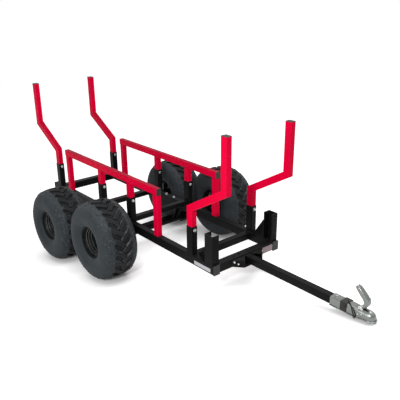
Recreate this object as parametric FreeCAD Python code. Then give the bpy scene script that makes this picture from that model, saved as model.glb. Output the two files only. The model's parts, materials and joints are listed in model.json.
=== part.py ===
import FreeCAD, Part
import math
import os

# Forestry trailer for an all-terrain vehicle. Millimetres, +X to the coupling, +Y left, +Z up.
# The ladder frame is drawn level, with its origin on the bogie's pivot axis, and is then pitched
# nose-down about that axis until the coupling's ball cup rests on the floor. The four wheels
# and the two bogie beams stand level on the floor.

# ---- driving sizes -------------------------------------------------------------------------
# bogie and wheels
PIVOT_HEIGHT = 148.5          # pivot axis above the floor
WHEEL_RADIUS = 288.0          # out to the tips of the tyre's lugs
WHEEL_BASE = 670.0            # axle to axle
WHEEL_TRACK = 1150.0          # tyre centre to tyre centre
TYRE_WIDTH = 280.0
BEAD_RADIUS = 101.6           # eight inch rim
BEAD_SPAN = 203.0             # between the two beads
RIM_FLANGE = 13.0             # height of the rim's flange over the bead seat
RIM_THICKNESS = 3.0
RIM_LIP_WIDTH = 8.0           # how far a flange stands out from the bead
RIM_LIP_EDGE = 3.0            # thickness of its rolled edge
RIM_LIP_ROOT = 4.0            # width over which it runs into the barrel
RIM_DISC_DEPTH = 114.0        # from the outer flange in to the disc
RIM_DISC_THICKNESS = 5.0
RIM_WELD = 1.0                # how far the disc's edge goes into the barrel
STUB_RADIUS = 20.0
STUB_CLEARANCE = 0.4
HUB_RADIUS = 44.0
HUB_OVERHANG = 34.0           # hub's outer end, out from the disc
HUB_LENGTH = 84.0
HUB_END_WALL = 11.5
AXLE_RADIUS = 35.0
AXLE_WALL = 6.0
AXLE_END_PLAY = 1.0           # between a beam and the cap on the axle's end
AXLE_CAP_THICKNESS = 6.0
AXLE_CAP_LIP = 8.0
BUSH_CLEARANCE = 0.4
BEAM_THICKNESS = 50.0
BEAM_BOSS_RADIUS = 52.0
BEAM_END_RADIUS = 42.0
BEAM_ROOT_HALF = 41.5         # half the depth of an arm at the boss
BEAM_TIP_HALF = 38.0          # and at the stub axle
BEAM_CLEARANCE = 11.0         # beam's outer face to the tyre's inner side
HANGER_PLATE = 8.0
HANGER_LENGTH = 190.0
HANGER_FOOT = 104.0
HANGER_SADDLE = 10.0           # how deep the axle lies in the cheeks' lower edge
HANGER_SHOULDER = 40.0        # height of the cheeks' upright ends

# tyres: a carcass with round shoulders, and two staggered rows of slanted lugs
BEAD_CLEARANCE = 0.2
BEAD_TOE_INSET = 8.5          # bead's toe, in from the rim's flange
TYRE_SHOULDER = ((1, 106), (12, 48), (52, 15))    # (in from the side, down from the tips)
TYRE_CHAMBER = ((20, 120), (40, 50))              # the air chamber, in the same way
GROOVE_INSET = 80.0           # grooves end this far in from the tyre's side
LUG_COUNT = 22                # in each row
LUG_DEPTH = 16.5              # from the tips down to the floor of a groove
LUG_WIDTH = 30.0
LUG_SLANT = 33.0              # degrees off straight across
LUG_PAST_MIDDLE = 4.0         # how far a lug's inner end is past the middle
LUG_END_INSET = 70.0          # where its top meets the shoulder, in from the tyre's side
LUG_END_DROP = 14.0           # how far down from the tips that is
LUG_ROOT = 8.0                # how deep it is let into the carcass

# ladder frame
FRAME_WIDTH = 600.0
RAIL_FRONT = 1195.0           # ahead of the pivot axis
RAIL_REAR = -985.0
RAIL_TOP = 208.0              # above the pivot axis
RAIL_HEIGHT = 65.0
RAIL_WIDTH = 50.0
TUBE_WALL = 3.0
TUBE_CORNER = 5.0
END_BAR = 60.0                # square tube of the front and rear crossbars
BOLSTER = 50.0                # square tube between the front stake sockets
BUNK_HEIGHT = 40.0
BUNK_LENGTH = 50.0

# sockets, stakes and fences
STAKE_LENGTH = 50.0           # tube size along the trailer
STAKE_WIDTH = 40.0            # tube size across it
SOCKET_WALL = 3.5
SOCKET_CLEARANCE = 0.6
SOCKET_HEIGHT = 200.0         # above the rails
FRONT_STAKE_SETBACK = 242.0   # socket's middle, behind the rails' front ends
REAR_STAKE_INSET = 100.0      # socket's middle, ahead of the rails' rear ends
FRONT_FENCE_SOCKET_X = 238.0
REAR_FENCE_SOCKET_X = -170.0
STAKE_OFFSET = 324.0          # how far the upper part stands out from the socket
STAKE_LOWER_BEND = 326.0      # above the rails
STAKE_BEND_RISE = 187.0       # from the lower bend to the upper one
STAKE_HEIGHT = 862.0
FENCE_FRONT_REACH = 359.0     # past the middle of the front fence socket
FENCE_REAR_REACH = 554.0      # past the middle of the rear one
FENCE_HEIGHT = 360.0

# front uprights
UPRIGHT_LENGTH = 80.0
UPRIGHT_DEPTH = 57.0
UPRIGHT_PLATE = 5.0
UPRIGHT_HEIGHT = 202.0
UPRIGHT_SETBACK = 10.0        # from the rail's front end
GUSSET_HEIGHT = 152.0
GUSSET_FOOT = 104.0

# drawbar and its braces
DRAWBAR_SIZE = 50.0
DRAWBAR_WALL = 4.0
DRAWBAR_DROP = 32.0           # its middle, below the tops of the rails
BRACE_PLATE = 5.0
BRACE_REACH = 61.0            # ahead of the front crossbar
BRACE_ROOT = 136.0            # half width at the crossbar
BRACE_TIP = 84.0              # half width at the front
BRACE_NOTCH = 56.0            # how far the upper flange stops short of the drawbar at the front

# ball coupling, seen from the middle of its ball
BALL_X = 2144.0
BALL_RADIUS = 25.0
BALL_CLEARANCE = 0.2
COUPLING_LENGTH = 248.0       # back to the rear end of the sleeve
DRAWBAR_INSERT = 92.0         # how far the drawbar goes into the sleeve
SLEEVE_LENGTH = 114.0
SLEEVE_WALL = 5.0
SLEEVE_CLEARANCE = 0.5
SKIRT_DROP = 26.0             # sleeve's open lower edge, below the drawbar's middle
SKIRT_LIP = 3.0
CUP_DROP = 32.0               # bottom of the ball cup, below the drawbar's middle
CUP_WALL = 4.8
DOME_RADIUS = 33.0
DOME_LENGTH = 32.0            # between the two round ends of the head
DOME_RISE = 2.0               # dome's axis over the drawbar's
HEAD_LIP_RADIUS = 40.0
HEAD_LIP_DROP = 17.0          # its underside, below the drawbar's middle
HEAD_LIP_THICKNESS = 4.5
COLLAR_LENGTH = 43.0
COLLAR_THICKNESS = 2.5

# coupling handle
HANDLE_SETBACK = 52.0         # its pin, behind the ball
HANDLE_RISE = 41.0            # its pin, above the drawbar's middle
HANDLE_WIDTH = 34.0
HANDLE_PLATE = 3.5
HANDLE_BOSS_RADIUS = 9.0
HANDLE_PIN_RADIUS = 5.0
PIN_CLEARANCE = 0.1
EAR_PLATE = 4.0
EAR_GAP = 0.3                 # between an ear and the side of the handle
EAR_FOOT = 14.0               # half length of an ear where it meets the neck
PIN_HEAD = 2.0

# the handle's front and rear lines, from its pin: (ahead, above)
HANDLE_OUTER = ((5, -8), (27, 6), (38, 20), (42, 34), (38, 52), (22, 72), (0, 93), (-24, 112), (-42, 122))
HANDLE_INNER = ((-8, 4), (6, 17), (14, 27), (16, 34), (14, 44), (2, 58), (-16, 74), (-34, 92), (-50, 110))

# end caps
CAP_THICKNESS = 4.0
CAP_LIP = 1.5

# ---- sizes that follow ---------------------------------------------------------------------
HALF_WIDTH = FRAME_WIDTH / 2
RAIL_BOTTOM = RAIL_TOP - RAIL_HEIGHT
RAIL_INNER = HALF_WIDTH - RAIL_WIDTH
SOCKET_LENGTH = STAKE_LENGTH + 2 * (SOCKET_CLEARANCE + SOCKET_WALL)
SOCKET_WIDTH = STAKE_WIDTH + 2 * (SOCKET_CLEARANCE + SOCKET_WALL)
SOCKET_Y = HALF_WIDTH - SOCKET_WIDTH / 2
SOCKET_TOP = RAIL_TOP + SOCKET_HEIGHT
FRONT_STAKE_X = RAIL_FRONT - FRONT_STAKE_SETBACK
REAR_STAKE_X = RAIL_REAR + REAR_STAKE_INSET
LOWER_BEND = RAIL_TOP + STAKE_LOWER_BEND
UPPER_BEND = LOWER_BEND + STAKE_BEND_RISE
STAKE_TOP = RAIL_TOP + STAKE_HEIGHT
FENCE_FRONT = FRONT_FENCE_SOCKET_X + FENCE_FRONT_REACH
FENCE_REAR = REAR_FENCE_SOCKET_X - FENCE_REAR_REACH
FENCE_TOP = RAIL_TOP + FENCE_HEIGHT
BUNK_TOP = RAIL_TOP + BUNK_HEIGHT
UPRIGHT_TOP = RAIL_TOP + UPRIGHT_HEIGHT
DRAWBAR_Z = RAIL_TOP - DRAWBAR_DROP
SLEEVE_START = BALL_X - COUPLING_LENGTH
SLEEVE_END = SLEEVE_START + SLEEVE_LENGTH
SLEEVE_BORE = DRAWBAR_SIZE / 2 + SLEEVE_CLEARANCE
SLEEVE_HALF = SLEEVE_BORE + SLEEVE_WALL
DRAWBAR_END = SLEEVE_START + DRAWBAR_INSERT
CUP_BOTTOM = DRAWBAR_Z - CUP_DROP
CUP_RADIUS = BALL_RADIUS + BALL_CLEARANCE + CUP_WALL
BALL_Z = CUP_BOTTOM + BALL_RADIUS
HEAD_REAR = BALL_X - DOME_LENGTH
HANDLE_X = BALL_X - HANDLE_SETBACK
HANDLE_Z = DRAWBAR_Z + HANDLE_RISE
TYRE_INNER = WHEEL_TRACK / 2 - TYRE_WIDTH / 2
BEAM_OUTER = TYRE_INNER - BEAM_CLEARANCE
BEAM_INNER = BEAM_OUTER - BEAM_THICKNESS
AXLE_HEIGHT = WHEEL_RADIUS
SIDES = (("right", -1), ("left", 1))

V = FreeCAD.Vector
X_AXIS = V(1, 0, 0)
Y_AXIS = V(0, 1, 0)
Z_AXIS = V(0, 0, 1)


# ---- small shapes --------------------------------------------------------------------------
def box(x0, x1, y0, y1, z0, z1):
    low = V(min(x0, x1), min(y0, y1), min(z0, z1))
    return Part.makeBox(abs(x1 - x0), abs(y1 - y0), abs(z1 - z0), low)


def rounded(solid, radius, direction):
    """Round the long edges that run along one direction."""
    edges = []
    for edge in solid.Edges:
        run = edge.Vertexes[-1].Point.sub(edge.Vertexes[0].Point)
        if run.Length > 0 and abs(run.normalize().dot(direction)) > 0.999:
            edges.append(edge)
    return solid.makeFillet(radius, edges)


def tube(x0, x1, y0, y1, z0, z1, wall, direction):
    """A rectangular tube with round corners, open at both ends of its direction."""
    outside = rounded(box(x0, x1, y0, y1, z0, z1), TUBE_CORNER, direction)
    if direction is X_AXIS:
        inside = box(x0, x1, y0 + wall, y1 - wall, z0 + wall, z1 - wall)
    elif direction is Y_AXIS:
        inside = box(x0 + wall, x1 - wall, y0, y1, z0 + wall, z1 - wall)
    else:
        inside = box(x0 + wall, x1 - wall, y0 + wall, y1 - wall, z0, z1)
    return outside.cut(inside)


def side_plate(points, y0, y1):
    """A flat plate: a polygon in the XZ plane, from y0 to y1."""
    corners = [V(x, min(y0, y1), z) for x, z in points]
    face = Part.Face(Part.makePolygon(corners + corners[:1]))
    return face.extrude(V(0, abs(y1 - y0), 0))


def cylinder_y(radius, y0, y1, x, z):
    return Part.makeCylinder(radius, abs(y1 - y0), V(x, min(y0, y1), z), Y_AXIS)


# ---- ladder frame --------------------------------------------------------------------------
def side_rail(side):
    return tube(RAIL_REAR, RAIL_FRONT, *span(side, RAIL_INNER, HALF_WIDTH),
                RAIL_BOTTOM, RAIL_TOP, TUBE_WALL, X_AXIS)


def span(side, inner, outer):
    """The low and high Y of a piece that lies between two distances from the middle."""
    return (inner, outer) if side > 0 else (-outer, -inner)


def crossbar(x, length, height):
    """A square tube between the rails, level with their tops."""
    return tube(x - length / 2, x + length / 2, -RAIL_INNER, RAIL_INNER,
                RAIL_TOP - height, RAIL_TOP, TUBE_WALL, Y_AXIS)


def bunk_bar(x):
    """A flat tube laid across both rails, under a pair of fence sockets."""
    return tube(x - BUNK_LENGTH / 2, x + BUNK_LENGTH / 2, -HALF_WIDTH, HALF_WIDTH,
                RAIL_TOP, BUNK_TOP, TUBE_WALL, Y_AXIS)


def socket(side, x, bottom):
    y = side * SOCKET_Y
    return tube(x - SOCKET_LENGTH / 2, x + SOCKET_LENGTH / 2, y - SOCKET_WIDTH / 2, y + SOCKET_WIDTH / 2,
                bottom, SOCKET_TOP, SOCKET_WALL, Z_AXIS)


# ---- stakes and fences ---------------------------------------------------------------------
def cranked_outline(x, lean, half):
    """Outline of a cranked tube in the XZ plane, half a tube either side of its centre line."""
    slope = math.atan2(STAKE_BEND_RISE, STAKE_OFFSET)
    mitre = half * math.tan((math.pi / 2 - slope) / 2)
    top = x + lean * STAKE_OFFSET
    outer = lean * half
    return [(x + outer, RAIL_TOP), (x + outer, LOWER_BEND - mitre),
            (top + outer, UPPER_BEND - mitre), (top + outer, STAKE_TOP),
            (top - outer, STAKE_TOP), (top - outer, UPPER_BEND + mitre),
            (x - outer, LOWER_BEND + mitre), (x - outer, RAIL_TOP)]


def stake(side, x, lean):
    """A load stake: its foot stands in the socket, its upper part leans out and goes up."""
    y = side * SOCKET_Y
    half = STAKE_WIDTH / 2
    outside = side_plate(cranked_outline(x, lean, STAKE_LENGTH / 2), y - half, y + half)
    inside = side_plate(cranked_outline(x, lean, STAKE_LENGTH / 2 - TUBE_WALL),
                        y - half + TUBE_WALL, y + half - TUBE_WALL)
    return outside.cut(inside)


def fence(side):
    """A side fence: a top rail on two end legs and two legs that stand in sockets."""
    y0, y1 = span(side, SOCKET_Y - STAKE_WIDTH / 2, SOCKET_Y + STAKE_WIDTH / 2)
    top = tube(FENCE_REAR, FENCE_FRONT, y0, y1, FENCE_TOP - STAKE_LENGTH, FENCE_TOP, TUBE_WALL, X_AXIS)
    feet = [(FENCE_REAR + STAKE_LENGTH / 2, RAIL_TOP), (REAR_FENCE_SOCKET_X, BUNK_TOP),
            (FRONT_FENCE_SOCKET_X, BUNK_TOP), (FENCE_FRONT - STAKE_LENGTH / 2, RAIL_TOP)]
    for x, foot in feet:
        top = top.fuse(tube(x - STAKE_LENGTH / 2, x + STAKE_LENGTH / 2, y0, y1,
                            foot, FENCE_TOP - STAKE_LENGTH, TUBE_WALL, Z_AXIS))
    return top


# ---- front uprights ------------------------------------------------------------------------
def upright(side):
    """A channel with its open side inward, stood on the rail and braced by a gusset behind."""
    front = RAIL_FRONT - UPRIGHT_SETBACK
    rear = front - UPRIGHT_LENGTH
    y0, y1 = span(side, HALF_WIDTH - UPRIGHT_DEPTH, HALF_WIDTH)
    block = rounded(box(rear, front, y0, y1, RAIL_TOP, UPRIGHT_TOP), TUBE_CORNER, Z_AXIS)
    hollow = box(rear + UPRIGHT_PLATE, front - UPRIGHT_PLATE,
                 *span(side, HALF_WIDTH - UPRIGHT_DEPTH - 1, HALF_WIDTH - UPRIGHT_PLATE), RAIL_TOP, UPRIGHT_TOP)
    foot = rear - GUSSET_FOOT
    brace_top = RAIL_TOP + GUSSET_HEIGHT
    gusset = side_plate([(rear + UPRIGHT_PLATE, RAIL_TOP), (rear + UPRIGHT_PLATE, brace_top),
                         (rear, brace_top), (foot, RAIL_TOP)],
                        *span(side, RAIL_INNER, RAIL_INNER + UPRIGHT_PLATE))
    return block.cut(hollow).fuse(gusset)


# ---- drawbar -------------------------------------------------------------------------------
def drawbar():
    half = DRAWBAR_SIZE / 2
    return tube(RAIL_FRONT, DRAWBAR_END, -half, half, DRAWBAR_Z - half, DRAWBAR_Z + half, DRAWBAR_WALL, X_AXIS)


def flat_plate(points, z0, z1):
    """A flat plate: a polygon in the XY plane, from z0 to z1."""
    corners = [V(x, y, z0) for x, y in points]
    face = Part.Face(Part.makePolygon(corners + corners[:1]))
    return face.extrude(V(0, 0, z1 - z0))


def drawbar_brace(side):
    """A folded brace in the corner of crossbar and drawbar: a slanted web with two flanges."""
    half = DRAWBAR_SIZE / 2
    low = DRAWBAR_Z - half
    high = DRAWBAR_Z + half
    front = RAIL_FRONT + BRACE_REACH
    root, tip = (RAIL_FRONT, side * BRACE_ROOT), (front, side * BRACE_TIP)
    lower = flat_plate([root, tip, (front, side * half), (RAIL_FRONT, side * half)], low, low + BRACE_PLATE)
    shoulder = side * (half + BRACE_NOTCH)
    upper = flat_plate([root, tip, (front, shoulder), (RAIL_FRONT + BRACE_PLATE, side * half),
                        (RAIL_FRONT, side * half)], high - BRACE_PLATE, high)
    web = flat_plate([root, tip, (front, side * (BRACE_TIP - BRACE_PLATE)),
                      (RAIL_FRONT, side * (BRACE_ROOT - BRACE_PLATE))], low, high)
    return web.fuse([lower, upper])


def drawbar_braces():
    return Part.makeCompound([drawbar_brace(side) for name, side in SIDES])


# ---- ball coupling -------------------------------------------------------------------------
def sleeve():
    """The pressed-steel channel over the drawbar's end, open below, with a lip on each skirt."""
    low = DRAWBAR_Z - SKIRT_DROP
    high = DRAWBAR_Z + SLEEVE_HALF
    channel = rounded(box(SLEEVE_START, HEAD_REAR, -SLEEVE_HALF, SLEEVE_HALF, low - TUBE_CORNER, high),
                      TUBE_CORNER, X_AXIS)
    lips = box(SLEEVE_START, HEAD_REAR, -SLEEVE_HALF - SKIRT_LIP, SLEEVE_HALF + SKIRT_LIP, low, low + SKIRT_LIP)
    below = box(SLEEVE_START, HEAD_REAR, -SLEEVE_HALF, SLEEVE_HALF, low - TUBE_CORNER, low)
    inside = box(SLEEVE_START, HEAD_REAR - DOME_RADIUS, -SLEEVE_BORE, SLEEVE_BORE, low, DRAWBAR_Z + SLEEVE_BORE)
    return channel.cut(below).fuse(lips).cut(inside)


def head():
    """The long dome over the ball, its lip, and the cup under it."""
    z = DRAWBAR_Z + DOME_RISE
    lip = DRAWBAR_Z - HEAD_LIP_DROP
    pieces = [Part.makeCylinder(DOME_RADIUS, DOME_LENGTH, V(HEAD_REAR, 0, z), X_AXIS),
              box(HEAD_REAR, BALL_X, -DOME_RADIUS, DOME_RADIUS, lip, z),
              box(HEAD_REAR, BALL_X, -HEAD_LIP_RADIUS, HEAD_LIP_RADIUS, lip, lip + HEAD_LIP_THICKNESS),
              Part.makeCylinder(HEAD_LIP_RADIUS, HEAD_LIP_THICKNESS, V(BALL_X, 0, lip)),
              Part.makeCylinder(CUP_RADIUS, z - CUP_BOTTOM, V(BALL_X, 0, CUP_BOTTOM))]
    for x in (HEAD_REAR, BALL_X):
        pieces.append(Part.makeSphere(DOME_RADIUS, V(x, 0, z)).common(
            box(x - DOME_RADIUS, x + DOME_RADIUS, -DOME_RADIUS, DOME_RADIUS, z, z + DOME_RADIUS)))
        pieces.append(Part.makeCylinder(DOME_RADIUS, z - lip, V(x, 0, lip)))
    return pieces


def ball_socket():
    """The space for the ball, open below."""
    radius = BALL_RADIUS + BALL_CLEARANCE
    throat = Part.makeCylinder(radius, BALL_RADIUS + BALL_CLEARANCE, V(BALL_X, 0, CUP_BOTTOM - BALL_CLEARANCE))
    return throat.fuse(Part.makeSphere(radius, V(BALL_X, 0, BALL_Z)))


def handle_ears():
    """Two ears on the neck and the pin that the handle turns on."""
    ear_y = HANDLE_WIDTH / 2 + EAR_GAP
    top = HANDLE_Z + HANDLE_BOSS_RADIUS
    foot = DRAWBAR_Z + SLEEVE_BORE
    outline = [(HANDLE_X - EAR_FOOT, foot), (HANDLE_X + EAR_FOOT, foot), (HANDLE_X + HANDLE_PIN_RADIUS, top),
               (HANDLE_X - HANDLE_PIN_RADIUS, top)]
    ears = [side_plate(outline, *span(side, ear_y, ear_y + EAR_PLATE)) for name, side in SIDES]
    reach = ear_y + EAR_PLATE + PIN_HEAD
    return ears + [cylinder_y(HANDLE_PIN_RADIUS, -reach, reach, HANDLE_X, HANDLE_Z)]


def coupling_body():
    return sleeve().fuse(head() + handle_ears()).cut(ball_socket())


def coupling_collar():
    """The black saddle over the front of the sleeve, down to the lips."""
    start = SLEEVE_END - COLLAR_LENGTH
    outer = SLEEVE_HALF + COLLAR_THICKNESS
    low = DRAWBAR_Z - SKIRT_DROP + SKIRT_LIP
    high = DRAWBAR_Z + outer
    band = rounded(box(start, SLEEVE_END, -outer, outer, low - TUBE_CORNER, high), TUBE_CORNER, X_AXIS)
    hole = rounded(box(start, SLEEVE_END, -SLEEVE_HALF, SLEEVE_HALF, low - 2 * TUBE_CORNER,
                       DRAWBAR_Z + SLEEVE_HALF), TUBE_CORNER, X_AXIS)
    below = box(start, SLEEVE_END, -outer, outer, low - 2 * TUBE_CORNER, low)
    return band.cut(hole).cut(below)


def coupling_handle():
    """The raised lever, a channel open to the rear, that goes forward and up, then back."""
    half = HANDLE_WIDTH / 2
    pin = V(HANDLE_X, 0, HANDLE_Z)
    outer = [(pin.x + x, pin.z + z) for x, z in HANDLE_OUTER]
    inner = [(pin.x + x, pin.z + z) for x, z in HANDLE_INNER]
    lever = side_plate(outer + inner[::-1], -half, half)
    trough = []
    for (x0, z0), (x1, z1) in zip(outer[1:-1], inner[1:-1]):
        depth = math.hypot(x1 - x0, z1 - z0)
        web = HANDLE_PLATE / depth
        trough.append(((x0 + (x1 - x0) * web, z0 + (z1 - z0) * web), (x1 + (x1 - x0) * web, z1 + (z1 - z0) * web)))
    outline = [front for front, back in trough] + [back for front, back in reversed(trough)]
    lever = lever.cut(side_plate(outline, -half + HANDLE_PLATE, half - HANDLE_PLATE))
    boss = cylinder_y(HANDLE_BOSS_RADIUS, -half, half, pin.x, pin.z)
    hole = cylinder_y(HANDLE_PIN_RADIUS + PIN_CLEARANCE, -half, half, pin.x, pin.z)
    return lever.fuse(boss).cut(hole)


# ---- pivot axle and hangers ----------------------------------------------------------------
def pivot_axle():
    end = BEAM_OUTER + AXLE_END_PLAY
    axle = cylinder_y(AXLE_RADIUS, -end, end, 0, 0)
    axle = axle.cut(cylinder_y(AXLE_RADIUS - AXLE_WALL, -end, end, 0, 0))
    for side in (-1, 1):
        y0, y1 = span(side, end, end + AXLE_CAP_THICKNESS)
        axle = axle.fuse(cylinder_y(AXLE_RADIUS + AXLE_CAP_LIP, y0, y1, 0, 0))
    return axle


def hanger(side):
    """A bracket bolted under the rail: a top plate and two cheeks, saddled and welded onto the pivot axle."""
    top = HANGER_LENGTH / 2
    foot = HANGER_FOOT / 2
    low = AXLE_RADIUS - HANGER_SADDLE
    bend = RAIL_BOTTOM - HANGER_SHOULDER
    outline = [(-top, RAIL_BOTTOM), (-top, bend), (-foot, low), (foot, low), (top, bend), (top, RAIL_BOTTOM)]
    inner = side_plate(outline, *span(side, RAIL_INNER, RAIL_INNER + HANGER_PLATE))
    outer = side_plate(outline, *span(side, HALF_WIDTH - HANGER_PLATE, HALF_WIDTH))
    y0, y1 = span(side, RAIL_INNER, HALF_WIDTH)
    roof = box(-top, top, y0, y1, RAIL_BOTTOM - HANGER_PLATE, RAIL_BOTTOM)
    hole = cylinder_y(AXLE_RADIUS, y0, y1, 0, 0)
    return inner.fuse([outer, roof]).cut(hole)


# ---- bogie beams and wheels (level on the floor) -------------------------------------------
def bogie_beam(side):
    """A V-shaped walking beam with a bush on the pivot axle and a stub axle at each end."""
    y0, y1 = span(side, BEAM_INNER, BEAM_OUTER)
    boss = cylinder_y(BEAM_BOSS_RADIUS, y0, y1, 0, PIVOT_HEIGHT)
    pieces = []
    for end in (-1, 1):
        x = end * WHEEL_BASE / 2
        arm = math.atan2(AXLE_HEIGHT - PIVOT_HEIGHT, x)
        across = (-math.sin(arm), math.cos(arm))
        root = (across[0] * BEAM_ROOT_HALF, across[1] * BEAM_ROOT_HALF)
        tip = (across[0] * BEAM_TIP_HALF, across[1] * BEAM_TIP_HALF)
        outline = [(root[0], PIVOT_HEIGHT + root[1]), (-root[0], PIVOT_HEIGHT - root[1]),
                   (x - tip[0], AXLE_HEIGHT - tip[1]), (x + tip[0], AXLE_HEIGHT + tip[1])]
        pieces.append(side_plate(outline, y0, y1))
        pieces.append(cylinder_y(BEAM_END_RADIUS, y0, y1, x, AXLE_HEIGHT))
        stub_end = hub_outer() - HUB_END_WALL - STUB_CLEARANCE
        pieces.append(cylinder_y(STUB_RADIUS, *span(side, BEAM_OUTER, stub_end), x, AXLE_HEIGHT))
    beam = boss.fuse(pieces)
    return beam.cut(cylinder_y(AXLE_RADIUS + BUSH_CLEARANCE, y0, y1, 0, PIVOT_HEIGHT))


def hub_outer():
    """Distance from the middle of the trailer to the outer end of a hub."""
    return disc_outer() + HUB_OVERHANG


def disc_outer():
    return WHEEL_TRACK / 2 + BEAD_SPAN / 2 + RIM_LIP_WIDTH - RIM_DISC_DEPTH


def revolve_about_axle(points, x, side):
    """Turn an outline of (distance from the middle of the tyre, radius) about a wheel's axle."""
    centre = WHEEL_TRACK / 2
    corners = [V(x, side * (centre + along), AXLE_HEIGHT + radius) for along, radius in points]
    face = Part.Face(Part.makePolygon(corners + corners[:1]))
    return face.revolve(V(x, 0, AXLE_HEIGHT), Y_AXIS, 360)


def faceted_ring(section, facets):
    """A ring about the Y axis, of flat facets: a closed outline of (distance out, radius)."""
    rings = []
    for step in range(facets + 1):
        angle = 2 * math.pi * (step % facets) / facets
        rings.append([V(radius * math.sin(angle), out, radius * math.cos(angle)) for out, radius in section])
    faces = []
    for here, there in zip(rings, rings[1:]):
        for i in range(len(section)):
            j = (i + 1) % len(section)
            faces.append(Part.Face(Part.makePolygon([here[i], here[j], there[j], there[i], here[i]])))
    return Part.makeSolid(Part.makeShell(faces))


def both_sides(half_section):
    return half_section + [(-out, radius) for out, radius in reversed(half_section)]


def carcass():
    """The tyre without its lugs: one facet for each pair of lugs, and a coarser air chamber."""
    half = TYRE_WIDTH / 2
    toe = (BEAD_RADIUS + BEAD_CLEARANCE) / math.cos(math.pi / LUG_COUNT)
    section = [(BEAD_SPAN / 2 - BEAD_TOE_INSET, toe)]
    section += [(half - inset, WHEEL_RADIUS - drop) for inset, drop in TYRE_SHOULDER]
    section.append((half - GROOVE_INSET, WHEEL_RADIUS - LUG_DEPTH))
    chamber = [(half - inset, WHEEL_RADIUS - drop) for inset, drop in TYRE_CHAMBER]
    outside = faceted_ring(both_sides(section), LUG_COUNT)
    return outside.cut(faceted_ring(both_sides(chamber), LUG_COUNT // 2))


def lug_size():
    """A lug's slant in radians, its length, and how far round the wheel its leading corner is."""
    slant = math.radians(LUG_SLANT)
    length = (TYRE_WIDTH / 2 - LUG_END_INSET + LUG_PAST_MIDDLE) / math.cos(slant)
    return slant, length, (length * math.sin(slant) + LUG_WIDTH * math.cos(slant)) / 2


def lug(row):
    """A lug at the top of the wheel: a slanted bar whose top falls to meet the shoulder."""
    slant, length, corner = lug_size()
    across = V(LUG_WIDTH * math.cos(slant), row * LUG_WIDTH * math.sin(slant), 0)
    tip = math.sqrt(WHEEL_RADIUS ** 2 - corner ** 2)
    root = WHEEL_RADIUS - LUG_DEPTH - LUG_ROOT
    outline = []
    for along, height in ((0, root), (0, tip), (length, WHEEL_RADIUS - LUG_END_DROP), (length, root)):
        drift = length * math.sin(slant) / 2 - along * math.sin(slant)
        out = along * math.cos(slant) - LUG_PAST_MIDDLE
        outline.append(V(drift, row * out, height).sub(across * 0.5))
    return Part.Face(Part.makePolygon(outline + outline[:1])).extrude(across)


def tyre_shape():
    """One tyre about the Y axis. It is turned so that a lug's corner is straight under the axle."""
    pitch = 360 / LUG_COUNT
    lugs = []
    for row, stagger in ((1, 0), (-1, 0.5)):
        for number in range(LUG_COUNT):
            turned = lug(row)
            turned.rotate(V(0, 0, 0), Y_AXIS, pitch * (number + stagger))
            lugs.append(turned)
    whole = carcass().fuse(lugs)
    whole.rotate(V(0, 0, 0), Y_AXIS, -math.degrees(math.asin(lug_size()[2] / WHEEL_RADIUS)))
    return whole


def tyre(shape, side, x):
    placed = shape.copy() if side < 0 else shape.mirror(V(0, 0, 0), Y_AXIS)
    placed.translate(V(x, side * WHEEL_TRACK / 2, AXLE_HEIGHT))
    return placed


def rim(side, x):
    """A deep-dish rim: flanged barrel, disc set far in, and the hub on the stub axle."""
    seat = BEAD_SPAN / 2
    bead = seat + BEAD_CLEARANCE
    lip = BEAD_RADIUS + RIM_FLANGE
    inner = BEAD_RADIUS - RIM_THICKNESS
    half = [(seat + RIM_LIP_ROOT, inner), (seat + RIM_LIP_WIDTH, lip - RIM_LIP_EDGE), (seat + RIM_LIP_WIDTH, lip),
            (bead, lip), (bead, BEAD_RADIUS)]
    barrel = revolve_about_axle(half + [(-out, radius) for out, radius in reversed(half)], x, side)
    y0, y1 = span(side, disc_outer() - RIM_DISC_THICKNESS, disc_outer())
    disc = cylinder_y(inner + RIM_WELD, y0, y1, x, AXLE_HEIGHT)
    hub = cylinder_y(HUB_RADIUS, *span(side, hub_outer() - HUB_LENGTH, hub_outer()), x, AXLE_HEIGHT)
    bore_back = hub_outer() - HUB_LENGTH - RIM_WELD
    bore = cylinder_y(STUB_RADIUS + STUB_CLEARANCE, *span(side, bore_back, hub_outer() - HUB_END_WALL), x, AXLE_HEIGHT)
    return barrel.fuse([disc, hub]).cut(bore)


# ---- end caps ------------------------------------------------------------------------------
def rail_caps():
    caps = []
    for side in (-1, 1):
        y0, y1 = span(side, RAIL_INNER - CAP_LIP, HALF_WIDTH + CAP_LIP)
        for x0, x1 in ((RAIL_FRONT, RAIL_FRONT + CAP_THICKNESS), (RAIL_REAR - CAP_THICKNESS, RAIL_REAR)):
            caps.append(box(x0, x1, y0, y1, RAIL_BOTTOM - CAP_LIP, RAIL_TOP + CAP_LIP))
    return Part.makeCompound(caps)


def stake_caps():
    caps = []
    for x in (FRONT_STAKE_X + STAKE_OFFSET, REAR_STAKE_X - STAKE_OFFSET):
        for side in (-1, 1):
            y = side * SOCKET_Y
            caps.append(box(x - STAKE_LENGTH / 2, x + STAKE_LENGTH / 2, y - STAKE_WIDTH / 2, y + STAKE_WIDTH / 2,
                            STAKE_TOP, STAKE_TOP + CAP_THICKNESS))
    return Part.makeCompound(caps)


def fence_caps():
    caps = []
    for side in (-1, 1):
        y0, y1 = span(side, SOCKET_Y - STAKE_WIDTH / 2, SOCKET_Y + STAKE_WIDTH / 2)
        for x0, x1 in ((FENCE_FRONT, FENCE_FRONT + CAP_THICKNESS), (FENCE_REAR - CAP_THICKNESS, FENCE_REAR)):
            caps.append(box(x0, x1, y0, y1, FENCE_TOP - STAKE_LENGTH, FENCE_TOP))
    return Part.makeCompound(caps)


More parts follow.
